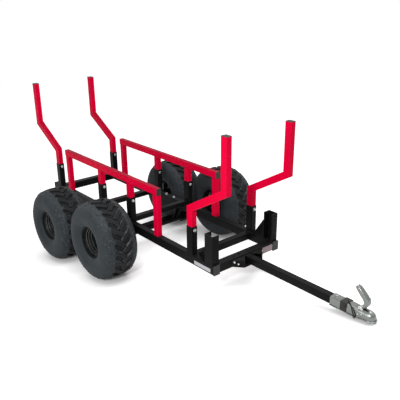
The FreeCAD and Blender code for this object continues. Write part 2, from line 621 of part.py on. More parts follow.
# ---- the parked stance ---------------------------------------------------------------------
def nose_pitch():
    """The angle that puts the front edge of the coupling's cup on the floor."""
    nose = BALL_X + CUP_RADIUS
    reach = math.hypot(nose, CUP_BOTTOM)
    return math.atan2(CUP_BOTTOM, nose) + math.asin(PIVOT_HEIGHT / reach)


def middle_x(pieces):
    bounds = Part.makeCompound(list(pieces.values())).BoundBox
    return (bounds.XMin + bounds.XMax) / 2


def level_pieces():
    """Every piece of the frame, drawn level about the pivot axis."""
    pieces = {}
    for name, side in SIDES:
        pieces[name + "_side_rail"] = side_rail(side)
        pieces[name + "_front_stake_socket"] = socket(side, FRONT_STAKE_X, RAIL_TOP)
        pieces[name + "_rear_stake_socket"] = socket(side, REAR_STAKE_X, RAIL_TOP)
        pieces[name + "_front_fence_socket"] = socket(side, FRONT_FENCE_SOCKET_X, BUNK_TOP)
        pieces[name + "_rear_fence_socket"] = socket(side, REAR_FENCE_SOCKET_X, BUNK_TOP)
        pieces[name + "_front_stake"] = stake(side, FRONT_STAKE_X, 1)
        pieces[name + "_rear_stake"] = stake(side, REAR_STAKE_X, -1)
        pieces[name + "_fence"] = fence(side)
        pieces[name + "_front_upright"] = upright(side)
        pieces[name + "_hanger"] = hanger(side)
    pieces["front_crossbar"] = crossbar(RAIL_FRONT - END_BAR / 2, END_BAR, END_BAR)
    pieces["front_bolster"] = crossbar(FRONT_STAKE_X, BOLSTER, BOLSTER)
    pieces["rear_crossbar"] = crossbar(REAR_STAKE_X, END_BAR, END_BAR)
    pieces["front_bunk_bar"] = bunk_bar(FRONT_FENCE_SOCKET_X)
    pieces["rear_bunk_bar"] = bunk_bar(REAR_FENCE_SOCKET_X)
    pieces["pivot_axle"] = pivot_axle()
    pieces["drawbar"] = drawbar()
    pieces["drawbar_braces"] = drawbar_braces()
    pieces["coupling_body"] = coupling_body()
    pieces["coupling_collar"] = coupling_collar()
    pieces["coupling_handle"] = coupling_handle()
    pieces["rail_caps"] = rail_caps()
    pieces["stake_caps"] = stake_caps()
    pieces["fence_caps"] = fence_caps()
    return pieces


def floor_pieces():
    """The bogie beams and the wheels, which stand level on the floor."""
    pieces = {}
    lugged = tyre_shape()
    for name, side in SIDES:
        pieces[name + "_bogie_beam"] = bogie_beam(side)
        for place, x in (("front", WHEEL_BASE / 2), ("rear", -WHEEL_BASE / 2)):
            pieces[name + "_" + place + "_tyre"] = tyre(lugged, side, x)
            pieces[name + "_" + place + "_rim"] = rim(side, x)
    return pieces


def build():
    pitched = FreeCAD.Placement(V(0, 0, PIVOT_HEIGHT), FreeCAD.Rotation(Y_AXIS, math.degrees(nose_pitch())))
    pieces = {}
    for name, shape in level_pieces().items():
        pieces[name] = shape.transformed(pitched.toMatrix(), copy=True)
    pieces.update(floor_pieces())
    to_middle = FreeCAD.Placement(V(-middle_x(pieces), 0, 0), FreeCAD.Rotation())
    os.makedirs("parts", exist_ok=True)
    for name, shape in pieces.items():
        shape.transformed(to_middle.toMatrix(), copy=True).exportStep("parts/" + name + ".step")
    print("pitch", round(math.degrees(nose_pitch()), 3), "pivot x", round(to_middle.Base.x, 3))
    print(len(pieces), "nodes")


build()
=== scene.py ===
# %% [markdown]
# Forestry trailer: the looks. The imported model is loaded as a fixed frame, and every piece here
# takes its place from the frame's boxes, joints and mounts. The room is in metres, +X points to the
# coupling, +Y to the trailer's left and +Z up. A solid that looks right as it is only gets a
# finish. What the solids leave plain, such as the tread's fine forms, pressings, bolts and welds,
# is drawn here as a mesh that rides on the solid's body.

# %% Frame
import bmesh
import bpy
import json
import math
import random
from mathutils import Matrix, Vector


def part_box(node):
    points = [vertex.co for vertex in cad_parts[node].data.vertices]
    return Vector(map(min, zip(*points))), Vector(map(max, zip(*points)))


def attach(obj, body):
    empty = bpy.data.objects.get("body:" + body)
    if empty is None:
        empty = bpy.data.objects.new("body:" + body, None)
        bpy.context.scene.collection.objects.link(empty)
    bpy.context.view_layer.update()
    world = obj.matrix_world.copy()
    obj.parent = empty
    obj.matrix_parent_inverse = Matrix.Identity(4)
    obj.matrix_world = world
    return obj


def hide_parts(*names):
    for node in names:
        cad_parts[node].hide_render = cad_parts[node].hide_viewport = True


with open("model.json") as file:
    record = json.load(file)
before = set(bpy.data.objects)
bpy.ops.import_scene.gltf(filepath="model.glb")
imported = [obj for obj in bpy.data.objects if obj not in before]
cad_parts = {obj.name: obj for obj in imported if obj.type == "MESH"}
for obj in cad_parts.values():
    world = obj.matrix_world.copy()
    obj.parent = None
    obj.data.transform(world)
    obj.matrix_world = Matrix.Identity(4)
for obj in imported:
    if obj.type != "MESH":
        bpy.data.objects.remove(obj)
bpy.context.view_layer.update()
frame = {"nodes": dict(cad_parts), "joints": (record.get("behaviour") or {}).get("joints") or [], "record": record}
NODES = frame["nodes"]
JOINTS = {joint["name"]: joint for joint in frame["joints"]}
MOUNTS = {mount["name"]: mount for mount in frame["record"]["mounts"]}
random.seed(7)

# %% [markdown]
# The real ladder frame is square, but it is parked nose-down, so in the room everything on it is
# tilted. Pieces could be drawn tilted, point by point. It is easier to draw them level, in
# millimetres from the bogies' pivot axis, and to let one matrix put them all in place. Its pitch
# comes from the direction that the front bolster's top face points in.

# %% Level frame
SIDES = (("right", -1), ("left", 1))
PIVOT = Vector(JOINTS["right_bogie_pivot"]["pos_m"])
PIVOT.y = 0.0
bolster_up = Vector(MOUNTS["front_bolster_top"]["axis"])
PITCH = math.atan2(bolster_up.x, bolster_up.z)
LEVEL = Matrix.Translation(PIVOT) @ Matrix.Rotation(PITCH, 4, "Y") @ Matrix.Scale(0.001, 4)
print("pitch", round(math.degrees(PITCH), 2), "degrees")

# %% [markdown]
# The camera stands to the front right of the trailer, a little above the stakes' bends. It is
# level with the ladder frame rather than with the ground, so its place is given in the level
# frame, where only a small roll is left. Aiming it with a tracking direction is easier to read
# than three angles. A lens of about 50 mm keeps the long drawbar from swelling.

# %% Camera
CAMERA_PLACE = Vector((3532.7, -2382.3, 1873.8))
CAMERA_AIM = Vector((334.1, 319.5, 255.7))
CAMERA_ROLL = math.radians(-0.53)
LENS, SENSOR_WIDTH = 49.99, 36.0        # millimetres

lens = bpy.data.cameras.new("camera")
lens.lens = LENS
lens.sensor_width = SENSOR_WIDTH
camera = bpy.data.objects.new("camera", lens)
bpy.context.scene.collection.objects.link(camera)
turn = (CAMERA_AIM - CAMERA_PLACE).to_track_quat("-Z", "Y").to_matrix().to_4x4()
level_view = Matrix.Translation(CAMERA_PLACE) @ turn @ Matrix.Rotation(CAMERA_ROLL, 4, "Z")
camera.matrix_world = Matrix.LocRotScale(*(LEVEL @ level_view).decompose()[:2], None)
bpy.context.scene.camera = camera
print("camera at", [round(value, 2) for value in camera.matrix_world.translation])

# %% [markdown]
# Every finish is a tree of nodes. Written out in full, each node, setting and link takes a line,
# and the recipe gets lost. These helpers take a number, a colour or another node's output alike,
# so a finish reads from top to bottom.


# %% Node helpers
def node(tree, kind, **settings):
    made = tree.nodes.new(kind)
    for name, value in settings.items():
        setattr(made, name, value)
    return made


def feed(tree, socket, value):
    """Link another node's output to a socket, or set the socket to a plain value."""
    if isinstance(value, bpy.types.NodeSocket):
        tree.links.new(value, socket)
    else:
        socket.default_value = value


def math_node(tree, operation, first, second):
    made = node(tree, "ShaderNodeMath", operation=operation)
    feed(tree, made.inputs[0], first)
    feed(tree, made.inputs[1], second)
    return made.outputs[0]


def map_range(tree, value, low, high, to_low=0.0, to_high=1.0, ramp="SMOOTHSTEP"):
    """Stretch a value from one range to another, eased at both ends unless the ramp is LINEAR."""
    made = node(tree, "ShaderNodeMapRange", interpolation_type=ramp)
    for label, number in (("Value", value), ("From Min", low), ("From Max", high),
                          ("To Min", to_low), ("To Max", to_high)):
        feed(tree, made.inputs[label], number)
    return made.outputs[0]


def new_material(name, roughness, specular, metallic=0.0):
    """A material with a Principled surface: the material, its tree and the surface's inputs."""
    material = bpy.data.materials.new(name)
    material.use_nodes = True
    surface = material.node_tree.nodes["Principled BSDF"].inputs
    surface["Roughness"].default_value = roughness
    surface["Specular IOR Level"].default_value = specular
    surface["Metallic"].default_value = metallic
    return material, material.node_tree, surface


# %% [markdown]
# The trailer stands in a plain studio. A bright room would grey its black paint, and a dark one
# would show black in the background. So the world is dim for the rays that light the object and
# white for those that show the background; the Light Path node tells them apart. Three soft lamps
# light it: a large one on the trailer's right, one overhead, and a smaller one beside the camera,
# which leaves the far side shaded behind the posts.

# %% Studio
ROOM_LIGHT = 0.2
LAMP_AIM = Vector((0.0, 0.0, 0.4))
# name, place, width and height, watts
LAMPS = (("right", (1.0, -4.4, 2.2), (3.0, 2.2), 62),
         ("overhead", (1.5, 1.8, 4.2), (3.0, 2.6), 95),
         ("beside_camera", (3.0, -3.4, 2.5), (0.6, 0.5), 135))


def shows_background(tree):
    """1 for rays that show what lies behind: camera, glossy and transmission rays."""
    path = node(tree, "ShaderNodeLightPath").outputs
    camera_or_gloss = math_node(tree, "MAXIMUM", path["Is Camera Ray"], path["Is Glossy Ray"])
    return math_node(tree, "MAXIMUM", camera_or_gloss, path["Is Transmission Ray"])


def studio_world():
    world = bpy.data.worlds.new("studio")
    world.use_nodes = True
    tree = world.node_tree
    tree.nodes.clear()
    mix = node(tree, "ShaderNodeMixShader")
    feed(tree, mix.inputs[0], shows_background(tree))
    for slot, strength in ((1, ROOM_LIGHT), (2, 1.0)):
        background = node(tree, "ShaderNodeBackground")
        background.inputs["Color"].default_value = (1, 1, 1, 1)
        background.inputs["Strength"].default_value = strength
        feed(tree, mix.inputs[slot], background.outputs[0])
    feed(tree, node(tree, "ShaderNodeOutputWorld").inputs[0], mix.outputs[0])
    return world


def area_light(name, place, size, power):
    data = bpy.data.lights.new(name, "AREA")
    data.shape = "RECTANGLE"
    data.size, data.size_y = size
    data.energy = power
    lamp = bpy.data.objects.new(name, data)
    lamp.location = place
    lamp.rotation_euler = (LAMP_AIM - Vector(place)).to_track_quat("-Z", "Y").to_euler()
    bpy.context.scene.collection.objects.link(lamp)


bpy.context.scene.view_settings.view_transform = "Standard"
bpy.context.scene.world = studio_world()
for lamp_values in LAMPS:
    area_light(*lamp_values)
print(len(LAMPS), "lamps")

# %% [markdown]
# The floor is pale and shows white, yet keeps the trailer's shadow. A plain white floor would need far more light,
# which would bleach the paint. Instead it glows for the rays that show the background. The glow is held back
# around the trailer, so that the lamps' soft shadow shows. Where something stands close over it, an Ambient
# Occlusion node holds the glow back further, which paints a contact shadow, as in the dark line under a tyre.

# %% Floor
FLOOR_GLOW = 0.78                   # how much of the floor's white doesn't depend on the lamps
GLOW_START, GLOW_END = 1.6, 3.6     # metres from the middle over which the shadow's pull ends
CONTACT = 0.28                      # metres over which the floor darkens beside what stands on it
COVERED, OPEN = 0.35, 0.9           # openness at which the floor is darkest, and at its lightest
CONTACT_GLOW = 0.1                  # what is left of the glow where it is darkest
FLOOR_REACH = 40.0


def floor_material():
    material, tree, surface = new_material("floor", 0.9, 0.0)
    surface["Base Color"].default_value = (0.8, 0.8, 0.8, 1)
    surface["Emission Color"].default_value = (1, 1, 1, 1)
    distance = node(tree, "ShaderNodeVectorMath", operation="LENGTH")
    feed(tree, distance.inputs[0], node(tree, "ShaderNodeTexCoord").outputs["Object"])
    around = map_range(tree, distance.outputs["Value"], GLOW_START, GLOW_END, FLOOR_GLOW, 1.0)
    # Painted contact shadow: less glow where something stands close over the floor.
    painted_contact_shadow = node(tree, "ShaderNodeAmbientOcclusion")
    painted_contact_shadow.inputs["Distance"].default_value = CONTACT
    under = map_range(tree, painted_contact_shadow.outputs["AO"], COVERED, OPEN, CONTACT_GLOW, 1.0, "LINEAR")
    glow = math_node(tree, "MULTIPLY", around, under)
    glow = math_node(tree, "MULTIPLY", glow, shows_background(tree))
    feed(tree, surface["Emission Strength"], glow)
    return material


def floor():
    mesh = bpy.data.meshes.new("floor")
    shape = bmesh.new()
    bmesh.ops.create_grid(shape, x_segments=1, y_segments=1, size=FLOOR_REACH)
    shape.to_mesh(mesh)
    shape.free()
    obj = bpy.data.objects.new("floor", mesh)
    bpy.context.scene.collection.objects.link(obj)
    mesh.materials.append(floor_material())


floor()
print("floor laid")

# %% [markdown]
# Steel, paint, rubber and plastic all wear, gather dust and vary in tone, and their edges and tops catch the
# light. Each such effect could be wired into every material again. Instead each is a shader node group with named
# inputs, built once and placed in each material with its own values. The first is edge wear with a painted
# highlight: a paler colour on convex edges, partly paint rubbed thin and partly the light that a rounded edge
# catches, found where the Bevel node's rounded normal leaves the face's own. Noise breaks it up.


# %% Edge wear and painted highlight
def new_group(name, inputs, output, output_kind):
    """A node group with named inputs, each a number or a colour, and one named output."""
    group = bpy.data.node_groups.new(name, "ShaderNodeTree")
    for label, value in inputs.items():
        kind = "NodeSocketColor" if isinstance(value, tuple) else "NodeSocketFloat"
        socket = group.interface.new_socket(name=label, in_out="INPUT", socket_type=kind)
        socket.default_value = value
    group.interface.new_socket(name=output, in_out="OUTPUT", socket_type=output_kind)
    return group, node(group, "NodeGroupInput").outputs, node(group, "NodeGroupOutput").inputs[0]


def noise(tree, scale, detail=3.0):
    made = node(tree, "ShaderNodeTexNoise")
    feed(tree, made.inputs["Vector"], node(tree, "ShaderNodeTexCoord").outputs["Object"])
    feed(tree, made.inputs["Scale"], scale)
    made.inputs["Detail"].default_value = detail
    made.inputs["Roughness"].default_value = 0.55
    return made.outputs["Fac"]


def edge_wear_and_highlight_group():
    """Mask of convex edges, for wear and painted highlight."""
    group, given, out = new_group("edge_wear_and_highlight", {"Width": 0.002, "Amount": 0.5, "Scale": 90.0},
                                  "Mask", "NodeSocketFloat")
    rounded = node(group, "ShaderNodeBevel", samples=4)
    feed(group, rounded.inputs["Radius"], given["Width"])
    alike = node(group, "ShaderNodeVectorMath", operation="DOT_PRODUCT")
    feed(group, alike.inputs[0], rounded.outputs[0])
    feed(group, alike.inputs[1], node(group, "ShaderNodeNewGeometry").outputs["Normal"])
    edge = map_range(group, alike.outputs["Value"], 0.99, 0.8)
    broken = map_range(group, noise(group, given["Scale"]), 0.42, 0.62)
    wear_and_highlight = math_node(group, "MULTIPLY", edge, broken)
    feed(group, out, math_node(group, "MULTIPLY", wear_and_highlight, given["Amount"]))
    return group


GROUPS = {"edge_wear_and_highlight": edge_wear_and_highlight_group()}
print("edge wear:", len(GROUPS["edge_wear_and_highlight"].nodes), "nodes")

# %% [markdown]
# Dust settles on what looks up, in drifts, and the same faces take light from above. So this mask serves both:
# dust, and painted light and shade on top faces. It could be painted on by hand, but the upward part of the face's
# normal finds those faces on any shape, and slow noise makes the drifts.


# %% Dust and painted top shading
def dust_and_top_shading_group():
    """Mask of faces that look up, in drifts."""
    group, given, out = new_group("dust_and_top_shading", {"Amount": 0.3, "Scale": 14.0}, "Mask", "NodeSocketFloat")
    split = node(group, "ShaderNodeSeparateXYZ")
    feed(group, split.inputs[0], node(group, "ShaderNodeNewGeometry").outputs["Normal"])
    top = map_range(group, split.outputs["Z"], 0.2, 0.95)
    drift = map_range(group, noise(group, given["Scale"], 5.0), 0.3, 0.75, 0.35, 1.0)
    lying = math_node(group, "MULTIPLY", top, drift)
    feed(group, out, math_node(group, "MULTIPLY", lying, given["Amount"]))
    return group


GROUPS["dust_and_top_shading"] = dust_and_top_shading_group()
print("dust:", len(GROUPS["dust_and_top_shading"].nodes), "nodes")

# %% [markdown]
# No coat is one even colour: a sprayed or moulded surface drifts between two close tones. A slow
# noise mixes them, which is enough to keep a large face from looking like plain plastic.


# %% Patches of tone
def patches_group():
    """Two tones of one colour, mixed by a slow noise."""
    group, given, out = new_group("patches", {"First": (0.5, 0.5, 0.5, 1),
                                              "Second": (0.4, 0.4, 0.4, 1), "Scale": 6.0},
                                  "Colour", "NodeSocketColor")
    share = map_range(group, noise(group, given["Scale"], 4.0), 0.35, 0.65)
    feed(group, out, mix_colour(group, share, given["First"], given["Second"]))
    return group


def mix_colour(tree, share, first, second):
    made = node(tree, "ShaderNodeMix", data_type="RGBA")
    for label, value in (("Factor", share), ("A", first), ("B", second)):
        feed(tree, made.inputs[label], value)
    return made.outputs["Result"]


GROUPS["patches"] = patches_group()
print("patches:", len(GROUPS["patches"].nodes), "nodes")

# %% [markdown]
# Powder coat has an orange peel, rubber and moulded plastic a fine grain. Modelling it would take
# millions of faces, and it never changes an outline, so it is the one form left to bump.


# %% Grain
def grain_group():
    """Fine bump, such as the orange peel of powder coat or the grain of moulded rubber."""
    group, given, out = new_group("grain", {"Scale": 900.0, "Depth": 0.0002, "Strength": 0.4},
                                  "Normal", "NodeSocketVector")
    bump = node(group, "ShaderNodeBump")
    feed(group, bump.inputs["Strength"], given["Strength"])
    feed(group, bump.inputs["Distance"], given["Depth"])
    feed(group, bump.inputs["Height"], noise(group, given["Scale"], 2.0))
    feed(group, out, bump.outputs[0])
    return group


GROUPS["grain"] = grain_group()
print("shared effects:", ", ".join(GROUPS))

# %% [markdown]
# Powder coat on steel tube: two close tones, a fine orange peel, a paler colour along the edges for paint rubbed
# thin and a painted highlight, and a colour on what points up: a little dust with a painted sheen on the black,
# painted shade on the red. Black frame, red stakes and black rims are the same coat in other colours, so one maker
# takes a row of values for each. Colours are given as they look on a screen and turned into the shader's linear
# values. The rims are glossier, and their lips are a darker, matt copy of their paint, which paints shade on them.


# %% Paint
def linear(colour):
    """A colour given as it looks on a screen, 0 to 255, in the shader's own values."""
    shares = [value / 255 for value in colour]
    return (*[s / 12.92 if s <= 0.04045 else ((s + 0.055) / 1.055) ** 2.4 for s in shares], 1.0)


def use_group(tree, name, **values):
    made = node(tree, "ShaderNodeGroup", node_tree=GROUPS[name])
    for label, value in values.items():
        made.inputs[label].default_value = value
    return made.outputs[0]


def two_tones(tree, tones, scale):
    return use_group(tree, "patches", First=linear(tones[0]), Second=linear(tones[1]), Scale=scale)


def powder_coat(name, tones, edge, dust_and_top_shading, roughness, specular, wear_and_highlight_amount, dust_and_top_shading_amount):
    material, tree, surface = new_material(name, roughness, specular)
    colour = two_tones(tree, tones, 5.0)
    wear_and_highlight = use_group(tree, "edge_wear_and_highlight", Width=0.003, Amount=wear_and_highlight_amount, Scale=60.0)
    colour = mix_colour(tree, wear_and_highlight, colour, linear(edge))
    dust_and_top_shading_mask = use_group(tree, "dust_and_top_shading", Amount=dust_and_top_shading_amount, Scale=9.0)
    feed(tree, surface["Base Color"], mix_colour(tree, dust_and_top_shading_mask, colour, linear(dust_and_top_shading)))
    peel = use_group(tree, "grain", Scale=700.0, Depth=0.0003, Strength=0.25)
    feed(tree, surface["Normal"], peel)
    return material


# two tones, edge colour for wear and painted highlight, top colour for dust with painted sheen on the black and
# painted shade on the red, roughness, specular, amount of edge wear and highlight, amount of top colour
PAINTS = {
    # black: a paler top, dust with a painted sheen
    "black_paint": (((14, 14, 15), (18, 18, 19)), (88, 88, 90), (42, 41, 40),
                    0.4, 0.05, 0.7, 0.3),
    # red: a darker top, painted shade
    "red_paint": (((222, 0, 54), (212, 0, 49)), (248, 60, 100), (112, 16, 38),
                  0.42, 0.04, 0.5, 0.8),
    "rim_black": (((16, 18, 19), (20, 22, 23)), (34, 35, 36), (30, 30, 30),
                  0.22, 0.9, 0.3, 0.1),
    # the rim's lip: a darker, matt copy of the rim paint, painted shade
    "rim_lip_shaded": (((12, 12, 13), (16, 16, 17)), (26, 27, 28), (30, 30, 30),
                0.5, 0.04, 0.3, 0.1),
}
MATERIALS = {name: powder_coat(name, *values) for name, values in PAINTS.items()}
print("paints:", ", ".join(PAINTS))

# %% [markdown]
# Tyre rubber is a matt blue-grey from its bloom. The tread is a blacker rubber, and the edges of lugs and blocks
# are paler, from wear and as a painted highlight. The lugs' flanks get a copy that is paler where it looks up:
# painted light from above, with dust. Light alone would darken the hollows between the lugs too little in so soft
# a studio, so an Ambient Occlusion node paints shade into the colour there. Sidewall, tread and lug flanks share
# the maker.

# %% Rubber
# Painted shade: the colour darkens in the hollows between the lugs, by an Ambient Occlusion node.
PAINTED_SHADE_REACH = 0.02               # metres over which a hollow between lugs darkens
PAINTED_SHADE_TONE = 0.45          # how much of the colour is left in its bottom


def rubber(name, tones, rub_and_highlight, dust_and_top_shading, dust_and_top_shading_amount):
    material, tree, surface = new_material(name, 0.62, 0.1)
    colour = two_tones(tree, tones, 11.0)
    dust_and_top_shading_mask = use_group(tree, "dust_and_top_shading", Amount=dust_and_top_shading_amount, Scale=40.0)
    colour = mix_colour(tree, dust_and_top_shading_mask, colour, linear(dust_and_top_shading))
    wear_and_highlight = use_group(tree, "edge_wear_and_highlight", Width=0.004, Amount=0.9, Scale=45.0)
    colour = mix_colour(tree, wear_and_highlight, colour, linear(rub_and_highlight))
    painted_shade = node(tree, "ShaderNodeAmbientOcclusion", samples=4)
    painted_shade.inputs["Distance"].default_value = PAINTED_SHADE_REACH
    shaded_colour = node(tree, "ShaderNodeVectorMath", operation="SCALE")
    feed(tree, shaded_colour.inputs[0], colour)
    feed(tree, shaded_colour.inputs["Scale"],
         map_range(tree, painted_shade.outputs["AO"], 0.35, 0.9, PAINTED_SHADE_TONE, 1.0))
    feed(tree, surface["Base Color"], shaded_colour.outputs[0])
    moulded = use_group(tree, "grain", Scale=520.0, Depth=0.0008, Strength=0.35)
    feed(tree, surface["Normal"], moulded)
    return material


# two tones, edge colour for wear and painted highlight, top colour for dust and painted light, amount of top
# colour
RUBBERS = {
    "tyre": (((49, 54, 57), (43, 48, 51)), (100, 104, 107), (82, 86, 89), 0.5),
    "tyre_tread": (((33, 34, 35), (28, 29, 30)), (98, 101, 104), (48, 50, 51), 0.2),
    # lug flanks: painted light where they look up, with dust
    "tyre_flank_painted_light": (((27, 28, 29), (24, 25, 26)), (98, 101, 104), (112, 115, 117), 0.85),
}
MATERIALS.update({name: rubber(name, *values) for name, values in RUBBERS.items()})
print("rubbers:", ", ".join(RUBBERS))

# %% [markdown]
# Zinc: galvanised pressings have a soft spangle of crystals, a paler colour on what points up, for bloom and
# painted light from above, and bright edges, rubbed and with a painted highlight; plated bolts are smoother and
# finer. Voronoi cells give each crystal its own tone and gloss, which noise can't. Metal takes its tone from what
# it reflects, so its base stays mid grey.

# %% Zinc
# Near white on the edges: rubbed zinc and a painted highlight.
RUBBED_AND_HIGHLIT_ZINC = (232, 233, 232)


def zinc(name, tones, bloom_and_top_light, roughness, crystals):
    material, tree, surface = new_material(name, roughness, 0.5, metallic=1.0)
    cells = node(tree, "ShaderNodeTexVoronoi")
    cells.inputs["Scale"].default_value = crystals
    feed(tree, cells.inputs["Vector"], node(tree, "ShaderNodeTexCoord").outputs["Object"])
    crystal = node(tree, "ShaderNodeSeparateColor")
    feed(tree, crystal.inputs[0], cells.outputs["Color"])
    colour = mix_colour(tree, crystal.outputs[0], linear(tones[0]), linear(tones[1]))
    bloom_and_top_light_mask = use_group(tree, "dust_and_top_shading", Amount=0.6, Scale=30.0)
    colour = mix_colour(tree, bloom_and_top_light_mask, colour, linear(bloom_and_top_light))
    wear_and_highlight = use_group(tree, "edge_wear_and_highlight", Width=0.004, Amount=1.0, Scale=25.0)
    feed(tree, surface["Base Color"], mix_colour(tree, wear_and_highlight, colour, linear(RUBBED_AND_HIGHLIT_ZINC)))
    feed(tree, surface["Roughness"],
         map_range(tree, crystal.outputs[1], 0.0, 1.0, roughness - 0.04, roughness + 0.06))
    grain = use_group(tree, "grain", Scale=420.0, Depth=0.0003, Strength=0.25)
    feed(tree, surface["Normal"], grain)
    return material


# two tones, top colour for bloom and painted light, roughness, scale of the crystals
ZINCS = {
    "galvanised": (((110, 114, 111), (119, 123, 120)), (150, 152, 150), 0.26, 160.0),
    "plated_bolt": (((176, 178, 177), (190, 191, 190)), (206, 207, 206), 0.22, 300.0),
}
MATERIALS.update({name: zinc(name, *values) for name, values in ZINCS.items()})
print("zincs:", ", ".join(ZINCS))

# %% [markdown]
# The tubes' end caps, the collar and the stickers are satin plastic or foil, with a fine texture and slightly
# paler edges, partly worn and partly a painted highlight. They differ only in tone and gloss, so they share one
# maker too.


# %% Plastic and foil
def plastic(name, tones, edge, roughness=0.5):
    material, tree, surface = new_material(name, roughness, 0.3)
    wear_and_highlight = use_group(tree, "edge_wear_and_highlight", Width=0.0015, Amount=0.6, Scale=80.0)
    colour = mix_colour(tree, wear_and_highlight, two_tones(tree, tones, 20.0), linear(edge))
    feed(tree, surface["Base Color"], colour)
    texture = use_group(tree, "grain", Scale=1400.0, Depth=0.0002, Strength=0.4)
    feed(tree, surface["Normal"], texture)
    return material


# two tones, edge, roughness
PLASTICS = {
    "grey_plastic": (((32, 33, 34), (37, 38, 39)), (72, 73, 74)),
    "black_plastic": (((22, 22, 23), (26, 26, 27)), (60, 60, 62)),
    "sticker": (((168, 170, 174), (178, 180, 184)), (196, 198, 200), 0.4),
    "dull_sticker": (((140, 122, 126), (150, 132, 136)), (170, 160, 162), 0.45),
}
MATERIALS.update({name: plastic(name, *values) for name, values in PLASTICS.items()})
print(len(MATERIALS), "materials")

# %% [markdown]
# Rails, stakes, fences, sockets and beams keep their solids. Real tube has rounded corners, and a
# sharp one would catch no light. Rounding every edge in the solids would multiply their faces, so
# a Bevel modifier rounds them here, without changing their size. It is a little wider on the red
# tubes than on the black ones, and small on the plastic caps.

# %% Carried-over nodes
SLOT_OF = {part["node"]: part["material_slot"] for part in frame["record"]["subparts"]}
ROUNDING = {"black_paint": 0.0022, "red_paint": 0.0024, "grey_plastic": 0.0012}     # metres
ROUNDED_FROM = math.radians(50)     # an edge that turns by less stays as it is


def dress(name):
    """Give a frame node its finish, and round its sharp edges."""
    obj = NODES[name]
    obj.data.materials.clear()
    obj.data.materials.append(MATERIALS[SLOT_OF[name]])
    width = ROUNDING.get(SLOT_OF[name])
    if width:
        bevel = obj.modifiers.new("rounding", "BEVEL")
        bevel.width = width
        bevel.segments = 3
        bevel.limit_method = "ANGLE"
        bevel.angle_limit = ROUNDED_FROM
        bevel.harden_normals = False


for name in NODES:
    dress(name)
print(sum(SLOT_OF[name] in ROUNDING for name in NODES), "nodes rounded")

# %% [markdown]
# The other pieces are drawn as skins over sections. A pressed or bent shape could be sculpted, or
# cut with booleans, but a skin keeps its edges crisp and its faces few. What is moulded or rolled
# round, such as a tyre or a rim, is a skin too: its outline, turned about the axle in small steps.
# All are drawn in millimetres. A finished mesh then becomes a piece that rides on a body.


# %% Skins and pieces
def skin(shape, sections, ring=False, closed=True):
    """Join sections, each with as many points as the next, into a capped skin or into a ring."""
    loops = [[shape.verts.new(point) for point in section] for section in sections]
    for here, there in zip(loops, loops[1:] + loops[:1] if ring else loops[1:]):
        for i in range(len(here) if closed else len(here) - 1):
            j = (i + 1) % len(here)
            shape.faces.new((here[i], here[j], there[j], there[i]))
    if not ring:
        shape.faces.new(list(reversed(loops[0])))
        shape.faces.new(loops[-1])


def turned(shape, outline, segments, side, closed=True):
    """Turn an outline of (distance out from the wheel's middle, radius) about Y."""
    turns = [math.tau * step / segments for step in range(segments)]
    skin(shape, [[(radius * math.sin(turn), side * out, radius * math.cos(turn))
                  for out, radius in outline] for turn in turns], ring=True, closed=closed)


def piece(name, shape, body, materials, sharp, place):
    """Make an object of a finished bmesh, put it in place, and let it ride on a body."""
    bmesh.ops.recalc_face_normals(shape, faces=shape.faces)
    bmesh.ops.transform(shape, matrix=place, verts=shape.verts)
    mesh = bpy.data.meshes.new(name)
    shape.to_mesh(mesh)
    shape.free()
    mesh.shade_smooth()
    mesh.set_sharp_from_angle(angle=math.radians(sharp))
    for material in materials:
        mesh.materials.append(MATERIALS[material])
    obj = bpy.data.objects.new(name, mesh)
    bpy.context.scene.collection.objects.link(obj)
    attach(obj, body)
    print(name, len(mesh.polygons), "faces")
    return obj


# %% [markdown]
# The tyres are low-pressure flotation tyres. The carcass is moulded round, so it is an outline
# turned about the axle. A plain ring would lose what the outline keeps: two fine rings on the
# shoulder, the bulge of the sidewall, and the bead that grips the rim. One outline serves all four
# wheels, and is stretched to each solid's box.

# %% Tyre carcass
DRAWN_RADIUS, DRAWN_HALF_WIDTH = 288.0, 139.0      # the size that the outlines are drawn at
# distance out from the tyre's middle, radius
CARCASS = ((0, 271.6), (30, 271.2), (50, 270.4), (59, 270.6), (64, 273.0), (67.5, 276.4),
           (71, 278.9), (75, 279.6), (80, 278.7), (84, 277.4), (84.8, 278.1), (86.6, 277.4),
           (87.2, 276.2), (93, 273.6), (100, 269.7), (108, 264.4), (115, 258.3), (118.4, 254.6),
           (119, 255.2), (120.8, 253.0), (121, 251.6), (125.5, 245.2), (130, 236.8), (134.2, 226.0),
           (137.2, 213.0), (138.8, 199.0), (139.0, 186.0), (138.4, 173.0), (136.2, 160.0),
           (132.4, 148.0), (127.6, 138.0), (126.0, 136.6), (124.6, 133.4), (120.4, 126.6),
           (114.6, 120.4), (110.6, 117.0), (108.4, 115.4), (102.6, 115.2))
CARCASS_INSIDE = ((98.0, 102.4), (90.0, 104.0), (89.0, 118.0), (112.0, 140.0), (124.0, 172.0),
                  (116.0, 222.0), (84.0, 252.0), (0, 258.0))


def tyre_fit(name, side):
    """How the drawn tyre fits a wheel: its side, and its stretch across and outward."""
    low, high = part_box(name + "_tyre")
    return (side, (high[1] - low[1]) * 500 / DRAWN_HALF_WIDTH,
            (high[2] - low[2]) * 500 / DRAWN_RADIUS)


def on_tyre(fit, out, radius, angle):
    """A point on the tyre, from its drawn distance out, radius and angle round the wheel."""
    side, across, outward = fit
    radius *= outward
    return Vector((radius * math.sin(angle), side * out * across, radius * math.cos(angle)))


def carcass(shape, fit):
    side, across, outward = fit
    half = [*CARCASS, *CARCASS_INSIDE]
    ring = half + [(-out, radius) for out, radius in reversed(half[1:-1])]
    turned(shape, [(out * across, radius * outward) for out, radius in ring], 144, side)


print("carcass of", len(CARCASS) + len(CARCASS_INSIDE), "points")

